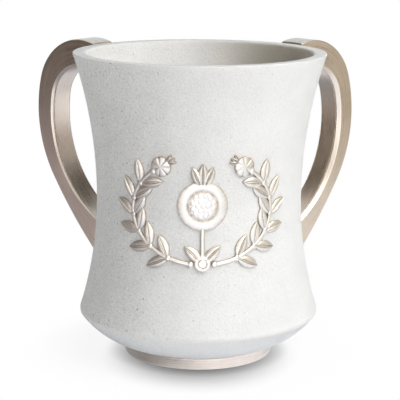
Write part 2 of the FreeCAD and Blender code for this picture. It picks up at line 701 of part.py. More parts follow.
class Relief:
    """Flat motifs carried out square to the wall at their own angle, then cut to one thin curved layer."""

    def __init__(self, sheet):
        self.sheet = sheet
        self.near = (sheet.waist_radius - sheet.waist_wall).number
        self.far = sheet.rim_radius.number
        self.centre_height = sheet.ornament_height.number
        self.half_height = sheet.ornament_half_height.number
        self.half_angle = sheet.ornament_half_angle.number

    def layer(self):
        """The space that the castings may fill: a skin of even thickness just off the cup's wall."""
        sheet = self.sheet
        upper, lower = outside_arcs(sheet)
        low = self.centre_height - self.half_height - sheet.leaf_length.number
        high = self.centre_height + self.half_height + sheet.leaf_length.number
        waist = sheet.waist_height.number
        corners = []
        arcs = []
        for lift in (sheet.glue_gap.number, (sheet.glue_gap + sheet.relief_thickness).number):
            middle = Vector(sheet.waist_radius.number + lift, 0, waist)
            ends = []
            for arc, height in ((lower, low), (upper, high)):
                radius = arc.number - lift
                centre = middle.x + radius
                rise = height - waist
                halfway_rise = rise / 2
                end = Vector(centre - math.sqrt(radius ** 2 - rise ** 2), 0, height)
                halfway_across = centre - math.sqrt(radius ** 2 - halfway_rise ** 2)
                halfway = Vector(halfway_across, 0, waist + halfway_rise)
                arcs.append(Part.Arc(end, halfway, middle).toShape())
                ends.append(end)
            corners.append(ends)
        (inner_low, inner_high), (outer_low, outer_high) = corners
        caps = [
            Part.LineSegment(inner_low, outer_low).toShape(),
            Part.LineSegment(inner_high, outer_high).toShape(),
        ]
        wire = Part.Wire(Part.__sortEdges__(arcs + caps))
        return Part.Face(wire).revolve(Vector(0, 0, 0), Vector(0, 0, 1), FULL_TURN)

    def prism(self, edges, angle):
        """Carries a closed outline from inside the wall to the rim's radius, at an angle from the front."""
        face = Part.Face(Part.Wire(edges))
        face.translate(Vector(0, -self.near, 0))
        solid = face.extrude(Vector(0, self.near - self.far, 0))
        solid.rotate(Vector(0, 0, 0), Vector(0, 0, 1), angle)
        return solid

    def disc(self, across, height, radius, angle):
        circle = Part.Circle(Vector(across, 0, height), Vector(0, 1, 0), radius)
        return self.prism([circle.toShape()], angle)

    def leaf(self, across, height, direction, angle):
        """A pointed leaf from its base, two arcs wide, that grows in a direction counted from across."""
        length = self.sheet.leaf_length.number
        half = self.sheet.leaf_width.number / 2
        along = Vector(math.cos(direction), 0, math.sin(direction))
        aside = Vector(-along.z, 0, along.x)
        base = Vector(across, 0, height)
        tip = base + along * length
        middle = base + along * (length / 2)
        edges = [
            Part.Arc(base, middle + aside * half, tip).toShape(),
            Part.Arc(tip, middle - aside * half, base).toShape(),
        ]
        return self.prism(edges, angle)

    def crown(self, across, height, radius, lean, angle):
        """A pomegranate's crown on a fruit of a radius, leaning from upright by an angle."""
        points = []
        for aside_share, up_share in CROWN_SHARES:
            aside = aside_share * radius
            rise = up_share * radius
            points.append(Vector(
                across + aside * math.cos(lean) - rise * math.sin(lean),
                0,
                height + aside * math.sin(lean) + rise * math.cos(lean),
            ))
        edges = [Part.LineSegment(a, b).toShape() for a, b in zip(points, points[1:] + points[:1])]
        return self.prism(edges, angle)

    def bar(self, start, end, width, angle):
        """A straight bar between two places."""
        first = Vector(start[0], 0, start[1])
        last = Vector(end[0], 0, end[1])
        along = last - first
        along.normalize()
        aside = Vector(-along.z, 0, along.x) * (width / 2)
        points = [first + aside, last + aside, last - aside, first - aside]
        edges = [Part.LineSegment(a, b).toShape() for a, b in zip(points, points[1:] + points[:1])]
        return self.prism(edges, angle)

    def stem_place(self, turn, side):
        """Angle and height of the stem at a turn of its ellipse, counted up from the bottom."""
        reach_share, height_share = STEM_REACH_SHARES
        angle = side * self.half_angle * reach_share * math.sin(math.radians(turn))
        height = self.centre_height - self.half_height * height_share * math.cos(math.radians(turn))
        return angle, height

    def local_place(self, place, frame_angle):
        """A place on the wall, as seen square to the wall at a frame's angle: across and up."""
        angle, height = place
        reach = self.sheet.waist_radius.number
        return reach * math.sin(math.radians(angle - frame_angle)), height

    def stem_piece(self, first_turn, last_turn, side):
        """One bent stretch of stem, of even width, between two turns of its ellipse."""
        half = self.sheet.stem_width.number / 2
        turns = (first_turn, (first_turn + last_turn) / 2, last_turn)
        frame_angle = self.stem_place(turns[1], side)[0]
        places = [self.local_place(self.stem_place(turn, side), frame_angle) for turn in turns]
        first, middle, last = (Vector(across, 0, up) for across, up in places)
        centre_arc = Part.Arc(first, middle, last).toShape().Curve
        centre = centre_arc.Center
        sides = []
        for offset in (-half, half):
            scale = (centre_arc.Radius + offset) / centre_arc.Radius
            sides.append([centre + (point - centre) * scale for point in (first, middle, last)])
        inner, outer = sides
        edges = [
            Part.Arc(*inner).toShape(),
            Part.LineSegment(inner[2], outer[2]).toShape(),
            Part.Arc(outer[2], outer[1], outer[0]).toShape(),
            Part.LineSegment(outer[0], inner[0]).toShape(),
        ]
        return self.prism(edges, frame_angle)

    def growth_direction(self, turn, side):
        """Direction in which the stem grows at a turn, across and up, as one angle."""
        step = (STEM_END_ANGLE - STEM_START_ANGLE) / STEM_STEPS / 2
        frame_angle = self.stem_place(turn, side)[0]
        before = self.local_place(self.stem_place(turn - step, side), frame_angle)
        after = self.local_place(self.stem_place(turn + step, side), frame_angle)
        return math.atan2(after[1] - before[1], after[0] - before[0])

    def spray(self, side):
        """One branch: a bent stem with a pair of leaves at each knuckle and a small fruit at its end."""
        sheet = self.sheet
        step = (STEM_END_ANGLE - STEM_START_ANGLE) / STEM_STEPS
        turns = [STEM_START_ANGLE + step * count for count in range(STEM_STEPS + 1)]
        pieces = [self.stem_piece(first, last, side) for first, last in zip(turns, turns[1:])]
        spread = math.radians(LEAF_SPREAD_ANGLE)
        for turn in turns:
            angle, height = self.stem_place(turn, side)
            pieces.append(self.disc(0.0, height, sheet.knuckle_radius.number, angle))
            if turn in turns[1:-1]:
                direction = self.growth_direction(turn, side)
                pieces.append(self.leaf(0.0, height, direction + spread, angle))
                pieces.append(self.leaf(0.0, height, direction - spread, angle))
        angle, height = self.stem_place(turns[-1], side)
        direction = self.growth_direction(turns[-1], side)
        bud = sheet.bud_radius.number
        across = bud * math.cos(direction)
        rise = height + bud * math.sin(direction)
        pieces.append(self.disc(across, rise, bud, angle))
        pieces.append(self.crown(across, rise, bud, direction - math.pi / 2, angle))
        return pieces

    def centre(self):
        """The middle casting: a crowned fruit on a straight stalk that rises from the tie."""
        sheet = self.sheet
        fruit = sheet.fruit_radius.number
        height = self.centre_height + self.half_height * FRUIT_HEIGHT_SHARE
        tie = self.centre_height + self.half_height * TIE_HEIGHT_SHARE
        return [
            self.disc(0.0, height, fruit, 0.0),
            self.crown(0.0, height, fruit, 0.0, 0.0),
            self.bar((0.0, tie), (0.0, height - fruit / 2), sheet.stem_width.number, 0.0),
            self.disc(0.0, tie, sheet.tie_radius.number, 0.0),
            self.leaf(0.0, tie, math.radians(LEAF_SPREAD_ANGLE), 0.0),
            self.leaf(0.0, tie, math.pi - math.radians(LEAF_SPREAD_ANGLE), 0.0),
        ]

    def cast(self, pieces, cutter=None):
        """Joins the pieces into one casting and cuts it to the layer on the wall."""
        solid = pieces[0].multiFuse(pieces[1:])
        if cutter is not None:
            solid = solid.cut(cutter)
        return solid.common(self.layer())


def make_ornament(doc, sheet):
    """The applied castings on the front: a fruit in the middle and a spray of leaves on each side."""
    relief = Relief(sheet)
    tie = relief.centre_height + relief.half_height * TIE_HEIGHT_SHARE
    tie_space = relief.disc(0.0, tie, (sheet.tie_radius + sheet.tie_gap).number, 0.0)
    shapes = {
        "ornament_centre": relief.cast(relief.centre()),
        "ornament_spray_left": relief.cast(relief.spray(-1), tie_space),
        "ornament_spray_right": relief.cast(relief.spray(1), tie_space),
    }
    features = []
    for name, shape in shapes.items():
        feature = doc.addObject("Part::Feature", name)
        feature.Shape = shape
        feature.Placement = Placement()
        features.append(feature)
    return features


def check(doc, parts):
    """Stops if any object failed, or any sub-part has no sound solid."""
    for item in doc.Objects:
        if "Invalid" in item.State or "Error" in item.State:
            raise RuntimeError(item.Label + " failed: " + ", ".join(item.State))
        if item.TypeId == "Sketcher::SketchObject" and not item.FullyConstrained:
            raise RuntimeError(item.Label + " isn't fully constrained")
    for part in parts:
        if part.Shape.isNull() or not part.Shape.isValid() or not part.Shape.Solids:
            raise RuntimeError(part.Label + " has no valid solid")


def main():
    doc = FreeCAD.newDocument("washing_cup")
    sheet = Sheet(doc, SIZES)
    parts = [make_cup_body(doc, sheet), make_foot_ring(doc, sheet), make_base_pad(doc, sheet)]
    for side, angle in handle_angles(sheet).items():
        parts.append(make_handle(doc, sheet, side, angle))
    parts.extend(make_pins(doc, sheet))
    parts.extend(make_ornament(doc, sheet))
    doc.recompute()
    check(doc, parts)
    os.makedirs("parts", exist_ok=True)
    for part in parts:
        part.Shape.exportStep(os.path.join("parts", part.Label + ".step"))
        print(part.Label, "solids", len(part.Shape.Solids), "volume", round(part.Shape.Volume))


main()
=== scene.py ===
"""Looks of a two-handled cup for washing the hands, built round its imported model.

The cast body, its two band handles, the foot ring with its pad and the applied ornament are made here as
finished surfaces, in metres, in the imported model's frame: the cup's axis is Z, it stands on z = 0, and its
front, with the ornament, faces -Y.
"""

import logging
import math
from dataclasses import dataclass, field
from enum import Enum

import bmesh
import bpy
import numpy as np
from mathutils import Matrix, Vector


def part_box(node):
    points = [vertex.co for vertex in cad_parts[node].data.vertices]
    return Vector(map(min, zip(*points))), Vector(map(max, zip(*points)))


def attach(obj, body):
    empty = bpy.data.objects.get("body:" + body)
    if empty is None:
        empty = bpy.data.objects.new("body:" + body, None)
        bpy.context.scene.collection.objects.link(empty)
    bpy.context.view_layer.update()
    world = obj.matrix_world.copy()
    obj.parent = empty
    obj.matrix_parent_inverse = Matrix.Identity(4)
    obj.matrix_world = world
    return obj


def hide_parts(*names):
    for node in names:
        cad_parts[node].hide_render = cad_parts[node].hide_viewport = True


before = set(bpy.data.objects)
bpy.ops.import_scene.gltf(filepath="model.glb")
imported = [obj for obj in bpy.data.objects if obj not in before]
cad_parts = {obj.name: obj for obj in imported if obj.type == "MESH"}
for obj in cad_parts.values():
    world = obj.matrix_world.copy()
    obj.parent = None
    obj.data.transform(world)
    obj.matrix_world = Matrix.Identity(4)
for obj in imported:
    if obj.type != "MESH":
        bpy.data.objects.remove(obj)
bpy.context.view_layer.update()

MM = 0.001
FULL_TURN = 2 * math.pi
QUARTER_TURN = math.pi / 2
# Points closer together than this become one point
WELD_DISTANCE = 1e-7
# Edges whose faces meet at more than this angle stay crisp
CRISP_ANGLE = math.radians(38)
# Cloudy noise lies mostly between these values
NOISE_BAND = (0.3, 0.7)
WHITE = (1.0, 1.0, 1.0, 1.0)

Array = np.ndarray
Pair = tuple[float, float]
Triple = tuple[float, float, float]
Colour = tuple[float, float, float, float]
Material = bpy.types.Material
Socket = bpy.types.NodeSocket
Sockets = bpy.types.bpy_prop_collection
Maps = tuple[Socket, Socket, Socket]

log = logging.getLogger("washing_cup")


class Side(Enum):
    """The two sides of the cup, each with its sign along X."""

    RIGHT = 1
    LEFT = -1

    @property
    def word(self) -> str:
        """The side's name in lower case."""
        return self.name.lower()


@dataclass
class Patch:
    """A grid of points whose last column joins its first, with what goes with each point.

    Attributes:
        points: places, rows by columns by 3.
        uv: surface coordinates in metres, with one column more, and one row more where the rows join too.
        edge: the edge value of each point, from 0 to 1, rows by columns: nearness to an edge on most pieces,
            and the share of painted shade on the castings.
        closed_rows: whether the last row joins the first.
    """

    points: Array
    uv: Array
    edge: Array
    closed_rows: bool = False

    def faces(self) -> tuple[Array, Array]:
        """Four-sided faces between neighbouring points.

        Returns:
            The faces as point numbers, and the same corners as numbers into the surface coordinates.
        """
        rows, columns = self.points.shape[:2]
        last_row = rows if self.closed_rows else rows - 1
        row, column = np.meshgrid(np.arange(last_row), np.arange(columns), indexing="ij")
        corner_rows = np.stack([row, row, row + 1, row + 1], axis=-1).reshape(-1, 4)
        corner_columns = np.stack([column, column + 1, column + 1, column], axis=-1).reshape(-1, 4)
        points = (corner_rows % rows) * columns + corner_columns % columns
        return points, corner_rows * self.uv.shape[1] + corner_columns


def signed_volume(points: Array, faces: Array) -> float:
    """Volume in a closed surface: a sixth of its faces' triple products, negative if they face inwards."""
    first, second, third, fourth = (points[faces[:, corner]] for corner in range(4))
    return float((first * (np.cross(second, third) + np.cross(third, fourth))).sum()) / 6


def new_object(name: str, data: bpy.types.ID) -> bpy.types.Object:
    """Makes an object and links it to the scene.

    Args:
        name: its name.
        data: its mesh, lamp or camera.

    Returns:
        The object.
    """
    made = bpy.data.objects.new(name, data)
    bpy.context.scene.collection.objects.link(made)
    return made


class Surface:
    """One piece made of closed shells, each of them one or more patches."""

    def __init__(self) -> None:
        """Starts with no shell."""
        self.points: list[Array] = []
        self.faces: list[Array] = []
        self.uv: list[Array] = []
        self.edge: list[Array] = []
        self.count = 0

    def add(self, *patches: Patch) -> "Surface":
        """Adds one closed shell and turns its faces outwards.

        Args:
            patches: grids that together close the shell.

        Returns:
            This surface.
        """
        faces, places = [], []
        start, uv_start = 0, 0
        for patch in patches:
            patch_faces, patch_places = patch.faces()
            faces.append(patch_faces + start)
            places.append(patch_places + uv_start)
            start += patch.points.size // 3
            uv_start += patch.uv.size // 2
        points = np.concatenate([patch.points.reshape(-1, 3) for patch in patches])
        uv = np.concatenate([patch.uv.reshape(-1, 2) for patch in patches])
        corners = np.stack([np.concatenate(faces), np.concatenate(places)])
        if signed_volume(points, corners[0]) < 0:
            corners = corners[:, :, ::-1]
        self.points.append(points)
        self.faces.append(corners[0] + self.count)
        self.uv.append(uv[corners[1]].reshape(-1, 2))
        self.edge += [patch.edge.ravel() for patch in patches]
        self.count += len(points)
        return self

    def build(self, name: str) -> bpy.types.Object:
        """Makes the mesh object, with its seams and poles closed.

        Args:
            name: the piece's name.

        Returns:
            The new object, linked to the scene.
        """
        points, faces = np.concatenate(self.points), np.concatenate(self.faces)
        mesh = bpy.data.meshes.new(name)
        mesh.vertices.add(len(points))
        mesh.vertices.foreach_set("co", points.ravel())
        mesh.loops.add(faces.size)
        mesh.loops.foreach_set("vertex_index", faces.ravel())
        mesh.polygons.add(len(faces))
        mesh.polygons.foreach_set("loop_start", np.arange(0, faces.size, 4))
        mesh.uv_layers.new(name="surface").data.foreach_set("uv", np.concatenate(self.uv).ravel())
        mesh.attributes.new("edge", "FLOAT", "POINT").data.foreach_set("value", np.concatenate(self.edge))
        mesh.update(calc_edges=True)
        work = bmesh.new()
        work.from_mesh(mesh)
        bmesh.ops.remove_doubles(work, verts=work.verts, dist=WELD_DISTANCE)
        bmesh.ops.dissolve_degenerate(work, edges=work.edges, dist=WELD_DISTANCE)
        work.to_mesh(mesh)
        work.free()
        mesh.shade_smooth()
        mesh.set_sharp_from_angle(angle=CRISP_ANGLE)
        return new_object(name, mesh)


# In the calls of the next two functions and of rounded, the last number is the count of points
def arc(centre: Pair, radius: float, start: float, end: float, count: int) -> Array:
    """Points on a circle: the centre plus the radius times the cosine and sine of an even sweep."""
    angle = np.linspace(start, end, count)
    return np.stack([centre[0] + radius * np.cos(angle), centre[1] + radius * np.sin(angle)], axis=1)


def line(start: Pair, end: Pair, count: int) -> Array:
    """Evenly spaced points from start to end, count by 2."""
    share = np.linspace(0, 1, count)[:, None]
    return (1 - share) * np.array(start) + share * np.array(end)


def lengths_along(points: Array) -> Array:
    """Distance travelled along a line of points, from 0 at the first: the running sum of its steps."""
    steps = np.linalg.norm(np.diff(points, axis=0), axis=1)
    return np.concatenate([[0.0], np.cumsum(steps)])


def unit(vector: Array) -> Array:
    """The vector, or each row's vector, brought to length 1."""
    return vector / np.linalg.norm(vector, axis=-1, keepdims=True)


def bell(distance: Array, width: float) -> Array:
    """A bell about 0: e to the minus square of the distance over the width."""
    return np.exp(-(distance / width) ** 2)


def direction(start: Pair, end: Pair) -> float:
    """Angle of the line from start to end, in radians."""
    return math.atan2(end[1] - start[1], end[0] - start[0])


def tangent_centre(fixed: Pair, distance: float, height: float) -> Pair:
    """Centre at a height and at a distance from a fixed centre, on the side away from the axis."""
    return fixed[0] + math.sqrt(distance ** 2 - (height - fixed[1]) ** 2), height


def flare(reach: float, rise: float) -> float:
    """Radius of the arc that leaves the waist upright and moves out by reach over rise."""
    return (rise * rise + reach * reach) / (2 * reach)


def shortened(points: Array, cut: float) -> Array:
    """A line of points with a length cut off its end.

    Args:
        points: the line, count by 2.
        cut: how much comes off.

    Returns:
        The points that are left, with a new last one on the old line.
    """
    along = lengths_along(points)
    keep = along[-1] - cut
    last = [np.interp(keep, along, points[:, axis]) for axis in range(2)]
    return np.concatenate([points[along < keep - WELD_DISTANCE], [last]])


def rounded(before: Array, after: Array, radius: float, count: int) -> Array:
    """Joins two lines that meet in a corner with a round of a radius.

    The round leaves each line one tangent length from the corner. It is a conic through both ends, pulled
    towards the corner with the weight that makes it a circle where the lines are straight.

    Args:
        before: points that end in the corner.
        after: points that start in the corner.
        radius: radius of the round.
        count: number of points in the round.

    Returns:
        Both lines, shortened, with the round between them.
    """
    corner = before[-1]
    turn = float(np.clip(unit(before[-2] - corner) @ unit(after[1] - corner), -1, 1))
    half_angle = math.acos(turn) / 2
    cut = radius / math.tan(half_angle)
    head, tail = shortened(before, cut), shortened(after[::-1], cut)[::-1]
    share = np.linspace(0, 1, count)[1:-1, None]
    first, pull, last = (1 - share) ** 2, 2 * math.sin(half_angle) * share * (1 - share), share ** 2
    bend = (first * head[-1] + pull * corner + last * tail[0]) / (first + pull + last)
    return np.concatenate([head, bend, tail])


def near(section: Array, places: tuple[Pair, ...], width: float) -> Array:
    """How near each point of a section is to any of some places: a bell along it about each, at most 1.

    Args:
        section: the points, count by 2.
        places: the marked places on the edges.
        width: half width of the bell.

    Returns:
        Values from 0 to 1.
    """
    along = lengths_along(section)
    marks = along[np.linalg.norm(section[:, None] - np.array(places), axis=2).argmin(axis=0)]
    return bell(along[:, None] - marks, width).max(axis=1)


def lathe(profile: Array, edge: Array, segments: int, closed: bool = False) -> Patch:
    """Turns a profile about the Z axis: x and y are the radius times the cosine and sine of the turn.

    Args:
        profile: radius and height of each point.
        edge: edge value of each point.
        segments: number of steps in the full turn.
        closed: whether the profile is a loop. If not, it starts and ends on the axis.

    Returns:
        The patch.
    """
    turn = np.linspace(0, FULL_TURN, segments + 1)
    radius, around = profile[:, :1], turn[None, :-1]
    height = np.broadcast_to(profile[:, 1:], (len(profile), segments))
    points = np.stack([radius * np.cos(around), radius * np.sin(around), height], axis=-1)
    along = np.broadcast_to(lengths_along(profile)[:, None], (len(profile), segments + 1))
    uv = np.stack([np.broadcast_to(turn * radius.mean(), along.shape), along], axis=-1)
    if closed:
        uv = np.concatenate([uv, uv[:1]])
    return Patch(points, uv, np.broadcast_to(edge[:, None], height.shape), closed)


@dataclass(frozen=True)
class CupWall:
    """The cup's outside, which everything else sits on: two arcs that meet upright at the waist.

    The rim is read from the frame, the rest are the cast body's own sizes.
    """

    rim_radius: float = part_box("cup_body")[1].x
    rim_height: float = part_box("cup_body")[1].z
    waist_radius: float = 45.6 * MM
    waist_height: float = 72.0 * MM
    shoulder_radius: float = 53.8 * MM
    shoulder_height: float = 19.8 * MM

    def radius(self, height: Array) -> Array:
        """Outside radius at a height: the waist's, plus how far the arc there has left the upright.

        Args:
            height: heights above the ground, of any shape.

        Returns:
            The radii, in the same shape. Above the rim they stay the rim's.
        """
        upper_arc = flare(self.rim_radius - self.waist_radius, self.rim_height - self.waist_height)
        lower_arc = flare(self.shoulder_radius - self.waist_radius, self.waist_height - self.shoulder_height)
        rise = np.minimum(height, self.rim_height) - self.waist_height
        bend = np.where(rise > 0, upper_arc, lower_arc)
        return self.waist_radius + bend - np.sqrt(bend ** 2 - rise ** 2)

    def place(self, across: Array, height: Array, lift: Array, turn: float) -> Array:
        """Lays flat places on the front of the wall.

        A place keeps its distance across and its height, seen square to the wall at a turn from the front,
        and moves out until it is the lift away from the wall.

        Args:
            across: distances across, to the viewer's right.
            height: heights above the ground.
            lift: distances from the wall.
            turn: angle about the axis from the front, in radians, positive to the viewer's right.

        Returns:
            The places, in the shape of the arguments with a last axis of 3.
        """
        out = np.sqrt((self.radius(height) + lift) ** 2 - across ** 2)
        x = across * math.cos(turn) + out * math.sin(turn)
        y = across * math.sin(turn) - out * math.cos(turn)
        return np.stack([x, y, height + 0 * x], axis=-1)


class Nodes:
    """Adds nodes to one tree and wires them."""

    def __init__(self, tree: bpy.types.NodeTree) -> None:
        """Works on the given node tree."""
        self.tree = tree

    def feed(self, socket: Socket, value: object) -> None:
        """Gives an input its value.

        Args:
            socket: the input.
            value: a socket to link from, or a plain value.
        """
        if isinstance(value, Socket):
            self.tree.links.new(value, socket)
        else:
            socket.default_value = value

    def add(self, kind: str, settings: dict | None = None, **inputs: object) -> Sockets:
        """Adds a node, sets it up and gives its inputs a value or a link.

        Args:
            kind: the node's type name.
            settings: attributes of the node itself.
            inputs: values or sockets by input name, with underscores for spaces, or by i and a number.

        Returns:
            The node's outputs.
        """
        node = self.tree.nodes.new(kind)
        for key, value in (settings or {}).items():
            setattr(node, key, value)
        for key, value in inputs.items():
            numbered = key[0] == "i" and key[1:].isdigit()
            self.feed(node.inputs[int(key[1:]) if numbered else key.replace("_", " ")], value)
        return node.outputs

    def math(self, operation: str, *values: object, clamp: bool = False) -> Socket:
        """One step of arithmetic on values or sockets."""
        numbered = {"i%d" % index: value for index, value in enumerate(values)}
        return self.add("ShaderNodeMath", {"operation": operation, "use_clamp": clamp}, **numbered)[0]

    def vector(self, operation: str, *values: object) -> Sockets:
        """One step of vector arithmetic, as its outputs."""
        numbered = {"i%d" % index: value for index, value in enumerate(values)}
        return self.add("ShaderNodeVectorMath", {"operation": operation}, **numbered)

    def scaled(self, colour: object, factor: Socket) -> Socket:
        """A colour times a factor."""
        return self.add("ShaderNodeVectorMath", {"operation": "SCALE"}, i0=colour, Scale=factor)[0]

    def mix(self, share: object, first: object, second: object, blend: str = "MIX") -> Socket:
        """Blends two colours by a share."""
        settings = {"data_type": "RGBA", "blend_type": blend}
        return self.add("ShaderNodeMix", settings, i0=share, i6=first, i7=second)[2]

    def blend(self, share: object, start: object, end: object) -> Socket:
        """Mixes two values, as start x (1 - share) + end x share."""
        return self.add("ShaderNodeMix", {"data_type": "FLOAT"}, i0=share, i2=start, i3=end)[0]

    def span(self, value: Socket, low: object, high: object, to_low: float, to_high: float) -> Socket:
        """Carries a value smoothly and clamped from one range to another."""
        ranges = {"From_Min": low, "From_Max": high, "To_Min": to_low, "To_Max": to_high}
        return self.add("ShaderNodeMapRange", {"interpolation_type": "SMOOTHSTEP"}, Value=value, **ranges)[0]

    def vary(self, noise: Socket, low: float, high: float) -> Socket:
        """Carries cloudy noise to a range."""
        return self.span(noise, *NOISE_BAND, low, high)

    def axes(self, vector: Socket) -> Sockets:
        """The X, Y and Z of a vector."""
        return self.add("ShaderNodeSeparateXYZ", Vector=vector)

    def noise(
        self, vector: Socket, scale: Socket, detail: float, roughness: float, axes: str = "3D",
    ) -> Socket:
        """Cloudy noise about one half."""
        inputs = {"Vector": vector, "Scale": scale, "Detail": detail, "Roughness": roughness}
        return self.add("ShaderNodeTexNoise", {"noise_dimensions": axes}, **inputs)["Fac"]

    def seen_ray(self, rays: Sockets) -> Socket:
        """1 for rays from the camera, in mirrors and through glass, 0 for those that light something."""
        mirrored = self.math("ADD", rays["Is Camera Ray"], rays["Is Glossy Ray"], clamp=True)
        return self.math("ADD", mirrored, rays["Is Transmission Ray"], clamp=True)


def cleared(owner: Material | bpy.types.World) -> bpy.types.NodeTree:
    """Switches nodes on and clears them.

    Args:
        owner: a material or world.

    Returns:
        Its empty node tree.
    """
    owner.use_nodes = True
    owner.node_tree.nodes.clear()
    return owner.node_tree


def new_group(name: str, inputs: dict[str, float | None], *outputs: str) -> tuple[Nodes, Sockets, Sockets]:
    """Starts a shader node group whose outputs are values.

    Args:
        name: the group's name.
        inputs: first value by input name, or None for coordinates.
        outputs: names of the outputs.

    Returns:
        The group's nodes, what comes in and where the results go.
    """
    group = bpy.data.node_groups.new(name, "ShaderNodeTree")
    for label, value in inputs.items():
        kind = "NodeSocketVector" if value is None else "NodeSocketFloat"
        socket = group.interface.new_socket(label, in_out="INPUT", socket_type=kind)
        if value is not None:
            socket.default_value = value
    for label in outputs:
        group.interface.new_socket(label, in_out="OUTPUT", socket_type="NodeSocketFloat")
    nodes = Nodes(group)
    return nodes, nodes.add("NodeGroupInput"), group.nodes.new("NodeGroupOutput").inputs


class Effects:
    """The shared node groups, each built once and placed in a material with its own values."""

    def __init__(self) -> None:
        """Builds the four groups."""
        self.specks = self.speck_group()
        self.grain = self.grain_group()
        self.edge_mask = self.build_edge_mask()
        self.brush = self.brush_group()

    def speck_group(self) -> bpy.types.NodeTree:
        """Scattered specks: each cell of a cell pattern holds one round speck of its own size, or none.

        Returns:
            The group, with cells per metre, speck size and share of filled cells as inputs.
        """
        smallest, core, soft_edge = 0.3, 0.45, 0.001
        inputs = {"Vector": None, "Cells": 900.0, "Size": 0.3, "Filled": 0.3}
        nodes, source, sink = new_group("specks", inputs, "Mask")
        cells = nodes.add("ShaderNodeTexVoronoi", Vector=source["Vector"], Scale=source["Cells"])
        chance = nodes.add("ShaderNodeSeparateColor", Color=cells["Color"])
        filled = nodes.math("LESS_THAN", chance[0], source["Filled"])
        spread = nodes.math("MULTIPLY_ADD", chance[1], 1 - smallest, smallest)
        size = nodes.math("MULTIPLY", nodes.math("MULTIPLY", spread, source["Size"]), filled)
        inner, outer = nodes.math("MULTIPLY", size, core), nodes.math("ADD", size, soft_edge)
        mask = nodes.span(cells["Distance"], inner, outer, 1.0, 0.0)
        nodes.feed(sink["Mask"], nodes.math("MULTIPLY", mask, filled))
        return nodes.tree

    def grain_group(self) -> bpy.types.NodeTree:
        """Grain at two scales: a cloudy tone and a fine height, both about one half.

        Returns:
            The group, with both scales as inputs.
        """
        inputs = {"Vector": None, "Cloud": 60.0, "Fine": 1500.0}
        nodes, source, sink = new_group("grain", inputs, "Tone", "Height")
        nodes.feed(sink["Tone"], nodes.noise(source["Vector"], source["Cloud"], detail=3.0, roughness=0.5))
        nodes.feed(sink["Height"], nodes.noise(source["Vector"], source["Fine"], detail=4.0, roughness=0.6))
        return nodes.tree

    def build_edge_mask(self) -> bpy.types.NodeTree:
        """A mask along edges: the mesh's own edge value, broken up by noise. It carries wear on the stone,
        lighter edges on the metal and painted shade on the castings.

        Returns:
            The group, with noise scale and amount as inputs.
        """
        least = 0.45
        inputs = {"Vector": None, "Scale": 400.0, "Amount": 1.0}
        nodes, source, sink = new_group("edge_value_mask", inputs, "Mask")
        edge = nodes.add("ShaderNodeAttribute", {"attribute_name": "edge"})["Fac"]
        broken = nodes.noise(source["Vector"], source["Scale"], detail=3.0, roughness=0.5)
        edge_marks = nodes.math("MULTIPLY", edge, nodes.vary(broken, least, 1.0))
        nodes.feed(sink["Mask"], nodes.math("MULTIPLY", edge_marks, source["Amount"], clamp=True))
        return nodes.tree

    def brush_group(self) -> bpy.types.NodeTree:
        """Fine brushed lines: noise drawn out along the surface's first coordinate.

        Returns:
            The group, with lines per metre and how much shorter the noise is along them as inputs.
        """
        nodes, source, sink = new_group("brushed_lines", {"Lines": 2500.0, "Stretch": 0.02}, "Lines")
        drawn = nodes.axes(nodes.add("ShaderNodeUVMap", {"uv_map": "surface"})["UV"])
        along = nodes.math("MULTIPLY", drawn["X"], source["Stretch"])
        joined = nodes.add("ShaderNodeCombineXYZ", X=along, Y=drawn["Y"])["Vector"]
        lines = nodes.noise(joined, source["Lines"], detail=3.0, roughness=0.65, axes="2D")
        nodes.feed(sink["Lines"], lines)
        return nodes.tree


class Canvas(Nodes):
    """The nodes of one of the object's materials, with its coordinates and the shared effects at hand."""

    def __init__(self, tree: bpy.types.NodeTree, effects: Effects) -> None:
        """Starts with the object coordinates.

        Args:
            tree: the material's node tree.
            effects: the shared node groups.
        """
        super().__init__(tree)
        self.place = self.add("ShaderNodeTexCoord")["Object"]
        self.effects = effects

    def specks(self, cells: float, size: float, filled: float) -> Socket:
        """The mask of scattered specks."""
        inputs = {"Vector": self.place, "Cells": cells, "Size": size, "Filled": filled}
        return self.add("ShaderNodeGroup", {"node_tree": self.effects.specks}, **inputs)[0]

    def grain(self, cloud: float, fine: float) -> tuple[Socket, Socket]:
        """The grain's cloudy tone and its fine height."""
        inputs = {"Vector": self.place, "Cloud": cloud, "Fine": fine}
        return tuple(self.add("ShaderNodeGroup", {"node_tree": self.effects.grain}, **inputs))

    def edge_mask(self, scale: float, amount: float) -> Socket:
        """The mask along edges: wear on the stone, lighter edges on the metal and painted shade on the
        castings.
        """
        inputs = {"Vector": self.place, "Scale": scale, "Amount": amount}
        return self.add("ShaderNodeGroup", {"node_tree": self.effects.edge_mask}, **inputs)[0]

    def brushed(self, lines: float, stretch: float) -> Socket:
        """The brushed lines' value."""
        return self.add("ShaderNodeGroup", {"node_tree": self.effects.brush}, Lines=lines, Stretch=stretch)[0]


